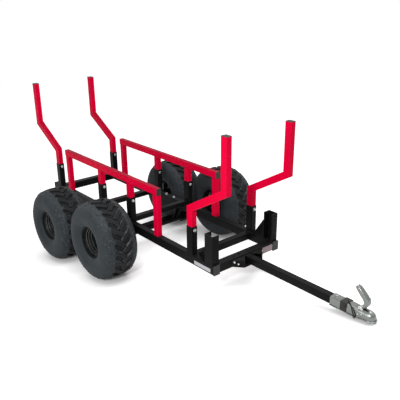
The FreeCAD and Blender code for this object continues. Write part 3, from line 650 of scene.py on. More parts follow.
# %% [markdown]
# Two rows of curved lugs, staggered by half a pitch, point forward at the middle of the tread, and
# run back as they go out. A lug's line could be a curve object. A short list of points, joined by a
# smooth curve, says the same and can carry the lug's height and width along with it.


# %% Lug line
def along(points, where):
    """The point at a share of the way through a list of points, on a smooth curve."""
    spot = where * (len(points) - 1)
    i = min(int(spot), len(points) - 2)
    t = spot - i
    near = (points[max(i - 1, 0)], points[i], points[i + 1], points[min(i + 2, len(points) - 1)])
    return [0.5 * ((2 * b) + (c - a) * t + (2 * a - 5 * b + 4 * c - d) * t * t
                   + (3 * b - a - 3 * c + d) * t ** 3) for a, b, c, d in zip(*near)]


LUGS = 22
LUG_REFERENCE = 270.0               # radius at which drift round the wheel is given
# a lug's line: distance out from the middle, drift round the wheel, radius on top, height, width
LUG_LINE = ((-3, 5, 287.6, 18, 28), (6, -5, 287.6, 18, 29), (16, -15, 287.2, 18, 30),
            (30, -26.5, 286.4, 18, 30), (46, -36, 284.8, 18, 31), (58, -41.5, 282.8, 17, 34),
            (66, -44, 281.2, 15, 42), (73, -46, 279.2, 10, 54), (80, -47.5, 276.6, 6, 62))
print("halfway, a lug is", round(along(LUG_LINE, 0.5)[4], 1), "mm wide")

# %% [markdown]
# Each lug runs into a smooth round shoulder, so the groove behind it ends in a rounded pocket. A
# swept tube would lie flat on its line. Here each section across a lug is turned to the direction
# of its line and to the slope of the carcass, so the lug lies on the round of the tyre.

# %% Lugs
LUG_STEPS = 15
LUG_LOOK = 0.02                     # how far ahead and behind the line's direction is measured
# half the section across a lug, from the foot up: share of its half width, share of its height
LUG_SECTION = ((1.14, -0.2), (1.03, 0.45), (0.98, 0.84), (0.88, 0.99), (0.5, 1.02))
LUG_LOOP = [(-across, up) for across, up in LUG_SECTION] + list(reversed(LUG_SECTION))


def lug_starts(phase):
    """Each lug's half of the tread and its angle round the wheel."""
    pitch = math.tau / LUGS
    return [(half, phase + pitch * (number + (0.5 if half > 0 else 0.0)))
            for half in (-1, 1) for number in range(LUGS)]


def lug_sections(fit, half, start):
    """Sections of one lug, each a closed loop across it, from the middle down to the shoulder."""
    sections = []
    for step in range(LUG_STEPS):
        share = step / (LUG_STEPS - 1)
        out, drift, radius, height, width = along(LUG_LINE, share)
        ahead = along(LUG_LINE, min(share + LUG_LOOK, 1.0))
        behind = along(LUG_LINE, max(share - LUG_LOOK, 0.0))
        run = math.hypot(ahead[0] - behind[0], ahead[2] - behind[2])
        length = math.hypot(run, ahead[1] - behind[1])
        across_line, across_drift = -(ahead[1] - behind[1]) / length, run / length
        slope_out, slope_radius = (ahead[0] - behind[0]) / run, (ahead[2] - behind[2]) / run
        loop = []
        for across, up in LUG_LOOP:
            offset = across * width / 2
            sunk = (1 - up) * height
            loop.append(on_tyre(
                fit, half * (out + offset * across_line * slope_out + sunk * slope_radius),
                radius + offset * across_line * slope_radius - sunk * slope_out,
                start + (drift + offset * across_drift) / LUG_REFERENCE))
        sections.append(loop)
    return sections


def lugs(shape, fit, phase):
    for half, start in lug_starts(phase):
        skin(shape, lug_sections(fit, half, start))


print(2 * LUGS, "lugs a tyre")

# %% [markdown]
# On the shoulder a thin hooked rib runs past each lug. It is only a few millimetres high, so it is
# drawn here and not in the solid. Bump could fake it, but would leave it flat where the shoulder
# turns out of sight.

# %% Shoulder ribs
# a rib's line: distance out, drift round the wheel, radius of the carcass there
RIB_LINE = ((76, -16, 279.4), (84, -22, 277.4), (91, -30, 274.6), (97, -40, 271.4),
            (99, -50, 270.2), (95, -60, 272.6), (89, -66, 275.2))
RIB_STEPS, RIB_LOOK = 12, 0.04
RIB_WIDTH, RIB_HEIGHT = 4.5, 2.4
# the section across a rib: share of its width, share of its height
RIB_SECTION = ((-0.5, -1.5), (-0.42, 0.6), (-0.2, 1.0), (0.2, 1.0), (0.42, 0.6), (0.5, -1.5))


def rib_sections(fit, half, start):
    """Sections of one rib, which leans outward as it rises from the shoulder."""
    sections = []
    for share in (step / RIB_STEPS for step in range(RIB_STEPS)):
        out, drift, radius = along(RIB_LINE, share)
        ahead_out, ahead_drift, _ = along(RIB_LINE, share + RIB_LOOK)
        run = math.hypot(ahead_out - out, ahead_drift - drift)
        over, round_by = -(ahead_drift - drift) / run, (ahead_out - out) / run
        sections.append([on_tyre(
            fit, half * (out + across * RIB_WIDTH * over + lift * RIB_HEIGHT * 0.35),
            radius + lift * RIB_HEIGHT - across * RIB_WIDTH * over * 0.4,
            start + (drift + across * RIB_WIDTH * round_by) / LUG_REFERENCE)
            for across, lift in RIB_SECTION])
    return sections


def shoulder_ribs(shape, fit, phase):
    for half, start in lug_starts(phase):
        skin(shape, rib_sections(fit, half, start))


print(2 * LUGS, "ribs a tyre, each of", RIB_STEPS, "sections")

# %% [markdown]
# Further out lie two arcs of plain raised blocks, where a tyre has its moulded markings; here they
# stay blank. Their lengths differ a little, as such markings do, and each is a skin that follows
# the slope of the shoulder under it.

# %% Block band
# the band of blocks: its inner edge, middle and outer edge as (distance out, radius)
BAND_EDGES = ((103.4, 268.0), (115.0, 258.6), (126.6, 244.2))
BAND_BLOCKS, BAND_HEIGHT = 14, 2.6
BAND_ARC, BAND_MIDDLE = math.radians(84), math.radians(72)
# the section of a block: height over the carcass, share of half its length
BLOCK_SECTION = ((-2.0, -1.0), (BAND_HEIGHT, -0.86), (BAND_HEIGHT, 0.86), (-2.0, 1.0))


def block_band(shape, fit):
    """Two arcs of raised blocks on the outer shoulder, each block a skin over its own section."""
    for number in range(2 * BAND_BLOCKS):
        arc, place = divmod(number, BAND_BLOCKS)
        middle = BAND_MIDDLE + math.pi * arc + BAND_ARC * ((place + 0.5) / BAND_BLOCKS - 0.5)
        wide = BAND_ARC / BAND_BLOCKS * random.uniform(0.26, 0.4)
        sections = []
        for out, radius in BAND_EDGES:
            steep = math.atan2(radius, out)
            sections.append([on_tyre(fit, out + lift * math.cos(steep),
                                     radius + lift * math.sin(steep), middle + wide * turn)
                             for lift, turn in BLOCK_SECTION])
        skin(shape, sections)


print(2 * BAND_BLOCKS, "blocks a tyre")

# %% [markdown]
# The tread is black between the shoulders, and the border with the grey sidewall is ragged. The lugs' steep flanks
# get a rubber that is dark below and pale where it looks up: painted light and shade, with some dust. A painted
# mask would need an image, so the rubber's finish goes on by face: each face's place and direction give the same
# border on every wheel.

# %% Tread finish
TREAD_EDGE = (60.0, 74.0)           # the black ends between these distances from the middle
TREAD_RAGGED = 1.7                  # how often the border comes and goes, against the lugs
TREAD_INSIDE = 250.0                # radius under which nothing is tread
FLANK = 0.6                         # a face is a flank where less of its normal points outward


def paint_tread(shape, fit):
    """Tread rubber between the shoulders, and rubber with painted light and shade on the flanks of the lugs."""
    bmesh.ops.recalc_face_normals(shape, faces=shape.faces)
    for face in shape.faces:
        middle = face.calc_center_median()
        ray = Vector((middle.x, 0.0, middle.z))
        turn = math.atan2(middle.x, middle.z) * LUGS / 2
        ragged = math.sin(turn * TREAD_RAGGED + math.copysign(1.0, middle.y)) ** 2
        border = TREAD_EDGE[0] + (TREAD_EDGE[1] - TREAD_EDGE[0]) * ragged
        if ray.length > TREAD_INSIDE and abs(middle.y) < border * fit[1]:
            face.material_index = 2 if abs(face.normal.dot(ray.normalized())) < FLANK else 1


print("tread rubber ends", TREAD_EDGE[0], "to", TREAD_EDGE[1], "mm from the middle")

# %% [markdown]
# Each wheel stands at its own point in its turn, as on any parked trailer, so the four are not
# copies in one position. A wheel is drawn around its own middle, and its spin joint says where that
# middle is.

# %% Tyres
LUG_PHASE, PHASE_STEP = math.radians(-0.6), 0.07
WHEELS = [(side_name + "_" + place, side) for side_name, side in SIDES
          for place in ("front", "rear")]


def wheel_place(name):
    middle = Vector(JOINTS[name + "_wheel_spin"]["pos_m"])
    return Matrix.Translation(middle) @ Matrix.Scale(0.001, 4)


def make_tyre(name, side, phase):
    fit = tyre_fit(name, side)
    shape = bmesh.new()
    carcass(shape, fit)
    lugs(shape, fit, phase)
    shoulder_ribs(shape, fit, phase)
    block_band(shape, fit)
    paint_tread(shape, fit)
    made = piece(name + "_tyre_tread", shape, name + "_wheel",
                 ("tyre", "tyre_tread", "tyre_flank_painted_light"), 38, wheel_place(name))
    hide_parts(name + "_tyre")


for index, (wheel, side) in enumerate(WHEELS):
    make_tyre(wheel, side, LUG_PHASE + PHASE_STEP * index)

# %% [markdown]
# The rims are deep black steel: a rolled outer lip, a barrel that steps down ring by ring to the
# drop centre, and a pressed disc far in, bolted to the hub with four nuts. The steps catch the
# light as thin bright rings. A rim is rolled from strip, so outlines turned about the axle give
# the barrel, disc and hub; cutting the steps into a cylinder would take far more work.

# %% Rims
# distance out from the wheel's middle, radius
RIM_OUTLINE = ((101.8, 114.4), (104.0, 114.6), (107.4, 114.2), (109.2, 112.4), (109.4, 110.4),
               (108.2, 108.8), (105.6, 106.8), (103.2, 101.6), (98.0, 99.2), (86.5, 98.6),
               (84.0, 97.6), (82.6, 94.6), (80.2, 93.6), (70.0, 93.2), (67.6, 92.2), (66.2, 89.0),
               (63.6, 88.0), (53.0, 87.6), (50.4, 86.6), (48.8, 82.8), (46.0, 81.8), (6.0, 81.6),
               (-30.0, 81.6), (-46.0, 82.6), (-58.0, 92.0), (-64.0, 98.0), (-98.0, 99.2),
               (-103.2, 101.6), (-105.6, 106.8), (-108.2, 108.8), (-109.4, 110.4),
               (-109.2, 112.4), (-107.4, 114.2), (-104.0, 114.6), (-101.8, 114.4),
               (-101.6, 101.4), (-62.0, 101.4), (-50.0, 92.0), (-40.0, 85.0), (40.0, 85.0),
               (56.0, 92.0), (90.0, 101.4), (101.6, 101.4))
DISC_OUTLINE = ((-4.5, 84.0), (-4.5, 76.0), (-1.0, 70.0), (2.5, 66.0), (3.0, 58.0), (-0.5, 50.0),
                (-1.0, 24.0), (-6.0, 24.0), (-5.5, 50.0), (-2.0, 58.0), (-2.5, 64.0),
                (-9.5, 76.0), (-9.5, 84.0))
HUB_OUTLINE = ((-54.0, 28.0), (8.0, 28.0), (10.0, 30.0), (14.0, 30.0), (16.0, 28.0),
               (26.0, 27.0), (28.6, 25.0), (29.5, 21.0), (29.5, 0.0), (-54.0, 0.0))
LIP_EDGE = 98.5                     # distance out past which the rim is a darker, matt copy: painted shade on the lip


def make_rim(name, side):
    shape = bmesh.new()
    turned(shape, RIM_OUTLINE, 96, side)
    turned(shape, DISC_OUTLINE, 96, side)
    turned(shape, HUB_OUTLINE, 48, side, closed=False)
    for face in shape.faces:
        face.material_index = int(abs(face.calc_center_median().y) > LIP_EDGE)
    made = piece(name + "_rim_barrel", shape, name + "_wheel",
                 ("rim_black", "rim_lip_shaded"), 35, wheel_place(name))
    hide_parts(name + "_rim")


print("the rim's outline has", len(RIM_OUTLINE), "points")

# %% [markdown]
# Nuts, bolt heads, washers and rods are all round or six-sided along an axis. A primitive would
# have to be turned and placed, and its corners cut. A stack of rings around the axis does both at
# once, and the last ring, drawn in a little, takes the corners off.


# %% Heads and washers
def stack(shape, foot, axis, rows, corners):
    """A skin over rings of points around an axis, each row a ring's (distance along, radius)."""
    axis = Vector(axis).normalized()
    first = axis.orthogonal().normalized()
    second = axis.cross(first)
    turns = [math.tau * i / corners for i in range(corners)]
    rays = [first * math.cos(turn) + second * math.sin(turn) for turn in turns]
    skin(shape, [[Vector(foot) + axis * rise + ray * reach for ray in rays]
                 for rise, reach in rows])


def hexagon(shape, foot, axis, width, height):
    """A nut or bolt head: a prism with its outer corners taken off."""
    reach = width / math.sqrt(3)
    stack(shape, foot, axis, ((0.0, reach), (height * 0.8, reach), (height, reach * 0.82)), 6)


def washer(shape, foot, axis, radius, height, corners=24):
    """A washer or round plate with a softened edge."""
    rows = ((0.0, radius), (height * 0.7, radius), (height, radius * 0.93))
    stack(shape, foot, axis, rows, corners)


print("a hexagon's corners reach", round(2 / math.sqrt(3), 3), "times its width")

# %% [markdown]
# Each wheel is held by four plated nuts on washers, each with the end of its stud showing. They
# are standard parts, so one is drawn, and a loop places it around the hub. Then each wheel gets its
# rim and its nuts.

# %% Wheel nuts
NUTS, NUT_CIRCLE, NUT_START = 4, 55.0, math.radians(45)
NUT_SEAT = 1.6                      # distance out from the wheel's middle
NUT_WIDTH, NUT_HEIGHT = 17.0, 13.0
NUT_WASHER = (12.5, 2.6)            # radius, thickness
STUD_END = (5.0, 6.0)               # radius, length past the nut


def make_wheel_nuts(name, side):
    shape = bmesh.new()
    outward = Vector((0, side, 0))
    for number in range(NUTS):
        angle = NUT_START + math.tau * number / NUTS
        spot = Vector((NUT_CIRCLE * math.sin(angle), side * NUT_SEAT,
                       NUT_CIRCLE * math.cos(angle)))
        washer(shape, spot, outward, *NUT_WASHER)
        seat = spot + outward * NUT_WASHER[1]
        hexagon(shape, seat, outward, NUT_WIDTH, NUT_HEIGHT)
        washer(shape, seat + outward * NUT_HEIGHT, outward, *STUD_END, 16)
    piece(name + "_wheel_nuts", shape, name + "_wheel", ("plated_bolt",), 30,
          wheel_place(name))


for wheel, side in WHEELS:
    make_rim(wheel, side)
    make_wheel_nuts(wheel, side)

# %% [markdown]
# Hexagon bolts clamp every stake and fence leg in its socket, two bolts through each rail hold the
# bogie hanger, and smaller ones sit on the hangers, uprights, braces and front crossbar. They are
# plated, apart from the black ones on the uprights, crossbar and drawbar. Each could be an object,
# but some forty small objects are slow to handle. So they are listed first, and made afterwards as
# one mesh for each finish.

# %% Bolt list
# width across flats and height of the heads, millimetres
LARGE, SMALL, BRACE = (17.0, 9.0), (10.0, 4.5), (12.0, 6.0)
FRAME_HEAD, UPRIGHT_HEAD, GUSSET_HEAD = (13.0, 6.0), (13.0, 5.0), (11.0, 4.0)
BOLTS = []      # (centre, axis, size, finish), level millimetres


def bolt(centre, axis, size, finish="plated_bolt"):
    BOLTS.append((Vector(centre), Vector(axis).normalized(), size, finish))


def make_bolts(name, finish, thick=2.0, reach=0.68):
    """Every listed bolt of one finish, on washers as wide as their reach against the head."""
    shape = bmesh.new()
    for centre, axis, (width, height), made_of in BOLTS:
        if made_of == finish:
            washer(shape, centre, axis, width * reach, thick)
            hexagon(shape, centre + axis * thick, axis, width, height)
    piece(name, shape, "chassis", (finish,), 30, LEVEL)


print("large heads are", LARGE[0], "mm across flats")

# %% [markdown]
# A bolt's place is measured from the box of the node that it goes into, in the level frame, so that
# it stays on its plate when that plate moves. The box of a tilted node is taken after its points
# are turned back level; the scene's own box around it would be too large.

# %% Bolt places
SOCKETS = ("front_stake", "rear_stake", "front_fence", "rear_fence")
UPRIGHT_BOLTS_Y = 277


def level_box(name):
    """A frame node's box in level millimetres: (lowest corner, highest corner)."""
    back = LEVEL.inverted()
    points = [back @ vertex.co for vertex in NODES[name].data.vertices]
    return (Vector([min(p[i] for p in points) for i in range(3)]),
            Vector([max(p[i] for p in points) for i in range(3)]))


def socket_bolts(side_name):
    """Near the top of each socket, through its front and rear faces."""
    for place in SOCKETS:
        low, high = level_box(side_name + "_" + place + "_socket")
        for x, ahead in ((high.x, 1), (low.x, -1)):
            bolt((x, (low.y + high.y) / 2, high.z - 25), (ahead, 0, 0), LARGE)


def hanger_bolts(side_name, side):
    """Down through the rail, and small ones on the hanger's inner plate."""
    rail_low, rail_high = level_box(side_name + "_side_rail")
    low, high = level_box(side_name + "_hanger")
    for x in (-58, 47):
        bolt((x, (rail_low.y + rail_high.y) / 2, rail_high.z), (0, 0, 1), LARGE)
    for x in (5, 44, 80):
        bolt((x, min(low.y, high.y, key=abs), high.z - 20), (0, -side, 0), SMALL)


def upright_bolts(side_name, side):
    low, high = level_box(side_name + "_front_upright")
    y = side * UPRIGHT_BOLTS_Y
    for z in (low.z + 26, high.z - 17):
        bolt((high.x, y, z), (1, 0, 0), UPRIGHT_HEAD, "black_paint")
    bolt((high.x - 75, y, high.z - 17), (1, 0, 0), GUSSET_HEAD, "black_paint")


def front_bolts(side):
    """On the braces' webs, which slant to the drawbar, and on top of the crossbar."""
    for x, z in ((1205, 186), (1222, 174)):
        bolt((x, side * (137 - (x - 1195) * 1.15), z), (0.75, side * 0.66, 0), BRACE)
    top = level_box("front_crossbar")[1].z
    for x, y in ((1160, 48), (1166, 97)):
        bolt((x, side * y, top), (0, 0, 1), FRAME_HEAD, "black_paint")


for side_name, side in SIDES:
    socket_bolts(side_name)
    hanger_bolts(side_name, side)
    upright_bolts(side_name, side)
    front_bolts(side)
bolt((1240, -12, level_box("drawbar")[1].z), (0, 0, 1), FRAME_HEAD, "black_paint")
make_bolts("plated_bolts", "plated_bolt")
make_bolts("black_bolts", "black_paint")
print(len(BOLTS), "bolts")

# %% [markdown]
# Two blank foil stickers: a silver one on the right rail's side, and a duller one on the front
# crossbar. They could be flat patches of colour in the paint. A thin plate with round corners, a
# hair proud of the paint, catches the light at its edge as foil does.

# %% Stickers
STICKER_CORNER = 5.0
STICKER_BACK, STICKER_FACE = 0.02, 0.5      # millimetres proud of the paint


def sticker(name, corner, across, size, material):
    """An upright rounded plate from its lower corner, across and up, level millimetres."""
    corner, across, up = Vector(corner), Vector(across), Vector((0, 0, 1))
    out = across.cross(up)
    width, height = size
    near, far, high = STICKER_CORNER, width - STICKER_CORNER, height - STICKER_CORNER
    outline = []
    for x, y, start in ((near, near, 180), (far, near, 270), (far, high, 0), (near, high, 90)):
        for angle in (math.radians(start + 22.5 * step) for step in range(5)):
            outline.append((x + near * math.cos(angle), y + near * math.sin(angle)))
    shape = bmesh.new()
    skin(shape, [[corner + across * x + up * y + out * lift for x, y in outline]
                 for lift in (STICKER_BACK, STICKER_FACE)])
    piece(name, shape, "chassis", (material,), 30, LEVEL)


low, high = level_box("right_side_rail")
sticker("rail_sticker", (high.x - 192, low.y, low.z + 11), (1, 0, 0), (161, 27), "sticker")
low, high = level_box("front_crossbar")
sticker("crossbar_sticker", (high.x, 148, low.z + 6), (0, 1, 0), (98, 43), "dull_sticker")

# %% [markdown]
# Wherever two black members meet, a thin weld bead runs along the joint, painted over like the
# rest. A smooth tube would look like sealant. Each bead is a line of ripples, every other one
# narrower and none quite alike, as a torch leaves them.

# %% Welds
BEAD_RADIUS = 2.6
RIPPLE_LENGTH, RIPPLE_WAIST = 4.0, 0.78
BEAD_CORNERS = 6


def bead(shape, start, end):
    """A rippled bead along a straight joint, level millimetres."""
    start, end = Vector(start), Vector(end)
    length = (end - start).length
    count = max(4, int(length / RIPPLE_LENGTH) * 2)
    rows = [(length * step / count,
             BEAD_RADIUS * (1.0 if step % 2 else RIPPLE_WAIST) * random.uniform(0.94, 1.06))
            for step in range(count + 1)]
    stack(shape, start, end - start, rows, BEAD_CORNERS)


def bead_around(shape, low, high, z):
    """Along the foot of an upright post."""
    corners = [(low.x, low.y, z), (high.x, low.y, z), (high.x, high.y, z), (low.x, high.y, z)]
    for start, end in zip(corners, corners[1:] + corners[:1]):
        bead(shape, start, end)


def side_welds(shape, side_name, side):
    """Round the sockets, and where the cross members and the upright meet the rail."""
    for place in SOCKETS:
        low, high = level_box(side_name + "_" + place + "_socket")
        bead_around(shape, low + Vector((1, 1, 0)), high - Vector((1, 1, 0)), low.z + 0.5)
    rail_low, rail_high = level_box(side_name + "_side_rail")
    inner, outer = sorted((rail_low.y, rail_high.y), key=abs)
    for name in ("front_crossbar", "rear_crossbar", "front_bolster"):
        low, high = level_box(name)
        for x in (low.x, high.x):
            bead(shape, (x, inner, max(low.z, rail_low.z)), (x, inner, high.z))
        bead(shape, (low.x, inner, high.z), (high.x, inner, high.z))
    for name in ("front_bunk_bar", "rear_bunk_bar"):
        low, high = level_box(name)
        for x in (low.x, high.x):
            bead(shape, (x, rail_low.y + 2, low.z), (x, rail_high.y - 2, low.z))
    low, high = level_box(side_name + "_front_upright")
    gusset, edge = inner + side * 5.5, outer - side
    bead(shape, (low.x + 6, gusset, low.z), (high.x - 84, gusset, low.z))
    bead(shape, (high.x, side * 296, low.z), (high.x, side * 247, low.z))
    bead(shape, (high.x - 76, edge, low.z), (high.x - 4, edge, low.z))


def drawbar_welds(shape):
    """Up both sides of the drawbar and over its top, where it meets the front crossbar."""
    low, high = level_box("drawbar")
    face = level_box("front_crossbar")[1].x
    for y in (low.y, high.y):
        bead(shape, (face, y, low.z + 3), (face, y, high.z - 3))
    bead(shape, (face, low.y + 3, high.z), (face, high.y - 3, high.z))


weld_shape = bmesh.new()
for side_name, side in SIDES:
    side_welds(weld_shape, side_name, side)
drawbar_welds(weld_shape)
piece("weld_beads", weld_shape, "chassis", ("black_paint",), 60, LEVEL)

# %% [markdown]
# The ball coupling is a galvanised pressing: an inverted channel over the drawbar, and a longer
# dome that swells over the ball and starts with a small step over the neck. Turning an outline
# could not follow a crest that is square at one end and round at the other. So neck and dome are
# each skinned from sections that have a wall, from the sleeve to the nose.

# %% Coupling pressing
BAR_MIDDLE = sum(corner.z for corner in level_box("drawbar")) / 2
BALL_X = level_box("coupling_body")[1].x - 40.0     # the ball's axis, back from the nose's lip
WALL = 4.0
INSIDE_LEAST = 0.3                  # share of the outside that the inside keeps at the nose
CORNER_STEPS = 9
NOSE = 33.4                         # how far the dome runs past the ball's axis
# stations along it from the ball's axis: half width, crest over the bar's middle, how far the
# corner reaches across and down, lower edge under the bar's middle
NECK = ((-248, 30.5, 30.5, 9, 9, 25.5), (-190, 30.5, 30.5, 9, 9, 25.5),
        (-134, 30.5, 30.5, 9, 9, 25.5), (-100, 30.0, 30.0, 9, 9, 25), (-76, 29.6, 29.6, 10, 10, 24),
        (-60, 29.4, 29.2, 12, 12, 21), (-46, 29.4, 29.0, 14, 14, 18))
HEAD = ((-65, 32.4, 30.4, 15, 15, 21), (-60, 32.8, 30.8, 17, 16, 19), (-50, 33.0, 32.0, 22, 20, 17),
        (-38, 33.0, 34.4, 29, 28, 16), (-22, 33.0, 35.6, 32.4, 33, 15.5),
        (-6, 32.8, 35.6, 32.6, 34, 15), (6, 31.6, 34.0, 31.6, 34, 15),
        (15, 28.8, 29.8, 28.8, 31, 15), (22, 24.8, 24.6, 24.8, 27, 15),
        (28, 19.0, 17.6, 19.0, 22, 15), (32, 11.6, 9.4, 11.6, 17, 15),
        (NOSE, 3.0, 1.0, 3.0, 10, 15))


def by_ball(x, y, z):
    """A point from the ball's axis and the bar's middle, in level millimetres."""
    return Vector((BALL_X + x, y, BAR_MIDDLE + z))


def pressing_section(x, half, crest, across, down, drop):
    """A closed inverted-U loop across the coupling: round the outside, then back round inside."""
    points = [(-half, -drop), (-half, (crest - down - drop) / 2)]
    for step in range(CORNER_STEPS + 1):
        angle = math.pi / 2 * step / CORNER_STEPS
        points.append((-half + across * (1 - math.cos(angle)),
                       crest - down * (1 - math.sin(angle))))
    points += [(-y, z) for y, z in reversed(points)]
    narrow = max((half - WALL) / half, INSIDE_LEAST)
    lower = max((crest + drop - WALL) / (crest + drop), INSIDE_LEAST)
    inner_x = x - WALL * max(0.0, x / NOSE)
    inside = [(y * narrow, (z + drop) * lower - drop) for y, z in reversed(points)]
    return [by_ball(x, y, z) for y, z in points] + [by_ball(inner_x, y, z) for y, z in inside]


def pressing(shape, stations):
    steps = (len(stations) - 1) * 3
    skin(shape, [pressing_section(*along(stations, step / steps)) for step in range(steps + 1)])


coupling_shape = bmesh.new()
pressing(coupling_shape, NECK)
pressing(coupling_shape, HEAD)
print("the drawbar's middle is", round(BAR_MIDDLE, 1), "mm over the pivot axis")

# %% [markdown]
# A lip is rolled outward along the pressing's lower edge, to stiffen it, and runs round the nose.
# An edge could be extruded, but the lip has a thickness and rounded edges of its own. So a small
# section follows a path along one side, round the nose and back, square to the path at each point.

# %% Coupling lip
# the lip's path: distance from the ball's axis, distance out, distance under the bar's middle
LIP_LINE = ((-248, 31.6, 24), (-134, 31.6, 24), (-92, 31.6, 23.6), (-72, 31.6, 22.0),
            (-52, 34.0, 18.0), (-30, 35.4, 15.6), (-10, 35.6, 15.0))
LIP_NOSE, LIP_NOSE_DROP, LIP_STEPS = 35.6, 15, 12
LIP_SECTION = ((-5.5, 2.0), (2.6, 2.0), (4.0, 1.0), (4.0, -1.0), (2.6, -2.0), (-5.5, -2.0))


def lip(shape):
    """The rolled flange: along both lower edges and round the nose."""
    path = [by_ball(x, -out, -drop) for x, out, drop in LIP_LINE]
    for angle in (math.pi * step / LIP_STEPS for step in range(LIP_STEPS + 1)):
        path.append(by_ball(LIP_NOSE * math.sin(angle), -LIP_NOSE * math.cos(angle),
                            -LIP_NOSE_DROP))
    path += [Vector((p.x, -p.y, p.z)) for p in reversed(path[:len(LIP_LINE)])]
    sections = []
    for i, centre in enumerate(path):
        heading = (path[min(i + 1, len(path) - 1)] - path[max(i - 1, 0)]).normalized()
        outward = heading.cross(Vector((0, 0, 1))).normalized()
        sections.append([centre + outward * reach + Vector((0, 0, rise))
                         for reach, rise in LIP_SECTION])
    skin(shape, sections)


lip(coupling_shape)
print("the lip is", 2 * LIP_NOSE, "mm wide round the nose")

# %% [markdown]
# Under the dome the ball sits in a round cup, open below, with a rounded rim. It could be cut out
# of a block, but here it is turned about the ball's axis, as a ring that needs no caps. With it the
# pressing is whole, and takes the solid's place.

# %% Ball cup
# the cup's radius, and height from the bar's middle
CUP_OUTLINE = ((24.9, 0), (24.9, -23.0), (25.6, -24.6), (27.0, -25.2), (28.6, -24.6),
               (29.6, -23.0), (29.6, 0))
CUP_STEPS = 40


def ball_cup(shape):
    """The cup around the ball, open below, with a rounded rim."""
    turns = [math.tau * step / CUP_STEPS for step in range(CUP_STEPS)]
    skin(shape, [[by_ball(radius * math.cos(turn), radius * math.sin(turn), z)
                  for radius, z in CUP_OUTLINE] for turn in turns], ring=True)


ball_cup(coupling_shape)
made = piece("coupling_pressing", coupling_shape, "chassis", ("galvanised",), 50,
             LEVEL)
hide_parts("coupling_body")

# %% [markdown]
# On the coupling sit the sleeve's bolt, two ears with the handle's pin between them, the tongue of
# the latch, and rivets on the dome. They are plated, so they are brighter than the pressing. The
# ears and the tongue are cut from plate, so flat outlines are skinned through their thickness.

# %% Coupling fittings
PIN = LEVEL.inverted() @ Vector(JOINTS["coupling_handle_lift"]["pos_m"])
EAR_FOOT, EAR_FACES = 18, (17.8, 21.4)      # height over the bar's middle, distances out
# an ear's outline: distance from the ball's axis, height over its foot
EAR = ((-74, 0), (-34, 0), (-40, 24), (-45, 30), (-52, 32), (-59, 30), (-64, 24))
# the latch's tongue: distance ahead of the pin, height over it
LATCH_TONGUE = ((-26, -17), (-11, -17), (-12, -11), (-16, -5), (-21, -3), (-26, -6))
TONGUE_FACES = (4, 11)
PIN_RADIUS, PIN_HALF = 4.8, 21
PIN_HEAD = (7.0, 3.5)               # radius, height
HEAD_ROWS, HEAD_ROUND = 4, math.pi / 2 * 0.92
SLEEVE_BOLT = (-218, -5, 30.5)      # from the ball's axis, across, over the bar's middle
SLEEVE_WASHER, SLEEVE_HEAD = (10, 1.8), (16, 6.5)
# rivets: distance from the ball's axis, distance out, height over the bar's middle, size
RIVETS = ((-35, 32.4, 12, (4.5, 1.8)), (-58, 31.2, 3, (4.0, 2.2)))


def round_head(shape, foot, axis, radius, height):
    """A domed head, as on a riveted pin."""
    turns = [row / HEAD_ROWS * HEAD_ROUND for row in range(HEAD_ROWS + 1)]
    rows = [(height * math.sin(turn), radius * math.cos(turn)) for turn in turns]
    stack(shape, foot, axis, rows, 20)


def rod(shape, start, end, radius, corners=10):
    run = Vector(end) - Vector(start)
    stack(shape, start, run, [(run.length * share, radius) for share in (0.0, 0.5, 1.0)], corners)


def side_fittings(shape, side):
    outward = Vector((0, side, 0))
    skin(shape, [[by_ball(x, side * y, EAR_FOOT + rise) for x, rise in EAR] for y in EAR_FACES])
    skin(shape, [[PIN + Vector((x, side * y, z)) for x, z in LATCH_TONGUE] for y in TONGUE_FACES])
    round_head(shape, PIN + outward * EAR_FACES[1], outward, *PIN_HEAD)
    for x, out, rise, size in RIVETS:
        washer(shape, by_ball(x, side * out, rise), outward, *size, 16)


fittings_shape = bmesh.new()
for _, side in SIDES:
    side_fittings(fittings_shape, side)
pin_half = Vector((0, PIN_HALF, 0))
rod(fittings_shape, PIN - pin_half, PIN + pin_half, PIN_RADIUS, 16)
sleeve_bolt = by_ball(*SLEEVE_BOLT)
washer(fittings_shape, sleeve_bolt, (0, 0, 1), *SLEEVE_WASHER)
hexagon(fittings_shape, sleeve_bolt + Vector((0, 0, SLEEVE_WASHER[1])), (0, 0, 1), *SLEEVE_HEAD)
piece("coupling_fittings", fittings_shape, "chassis", ("plated_bolt",), 35, LEVEL)

# %% [markdown]
# A black collar is strapped around the neck. A retaining loop hangs on its side, and a black rod is bent from its
# top down to a small ball end. Where the latch comes up, the slot in the neck is a thin black plate, painted shade
# for its dark opening. A bent rod could be a curve, but straight lengths with a ball at each knee keep its bends
# tight.

# %% Collar details
# the rod's bends: distance ahead of the collar, across, height over the bar's middle
ROD_LINE = ((-10, 0, 35.5), (12, -16, 34.0), (30, -33, 32.5), (37, -37, 26), (47, -38, 2),
            (57, -38.5, -22))
ROD_RADIUS, ROD_END = 4.0, 6.2
LOOP_RADIUS, LOOP_WIRE, LOOP_STEPS = 10.5, 1.6, 20
LOOP_PLATE = (9.0, 2.5)             # radius, thickness
SHORT_PIN_RADIUS = 3.4
# the slot: distances from the ball's axis, half width, heights over the bar's middle
SLOT_X, SLOT_HALF, SLOT_FACES = (-84, -70), 8, (28, 30.4)


def loop_sections(centre):
    """Sections of a wire loop that lies flat against the collar's side."""
    sections = []
    for turn in (math.tau * step / LOOP_STEPS for step in range(LOOP_STEPS)):
        ray = Vector((math.cos(turn), 0, math.sin(turn)))
        sections.append([centre + ray * (LOOP_RADIUS + LOOP_WIRE * math.cos(i * math.pi / 4))
                         - Vector((0, LOOP_WIRE * math.sin(i * math.pi / 4), 0))
                         for i in range(8)])
    return sections


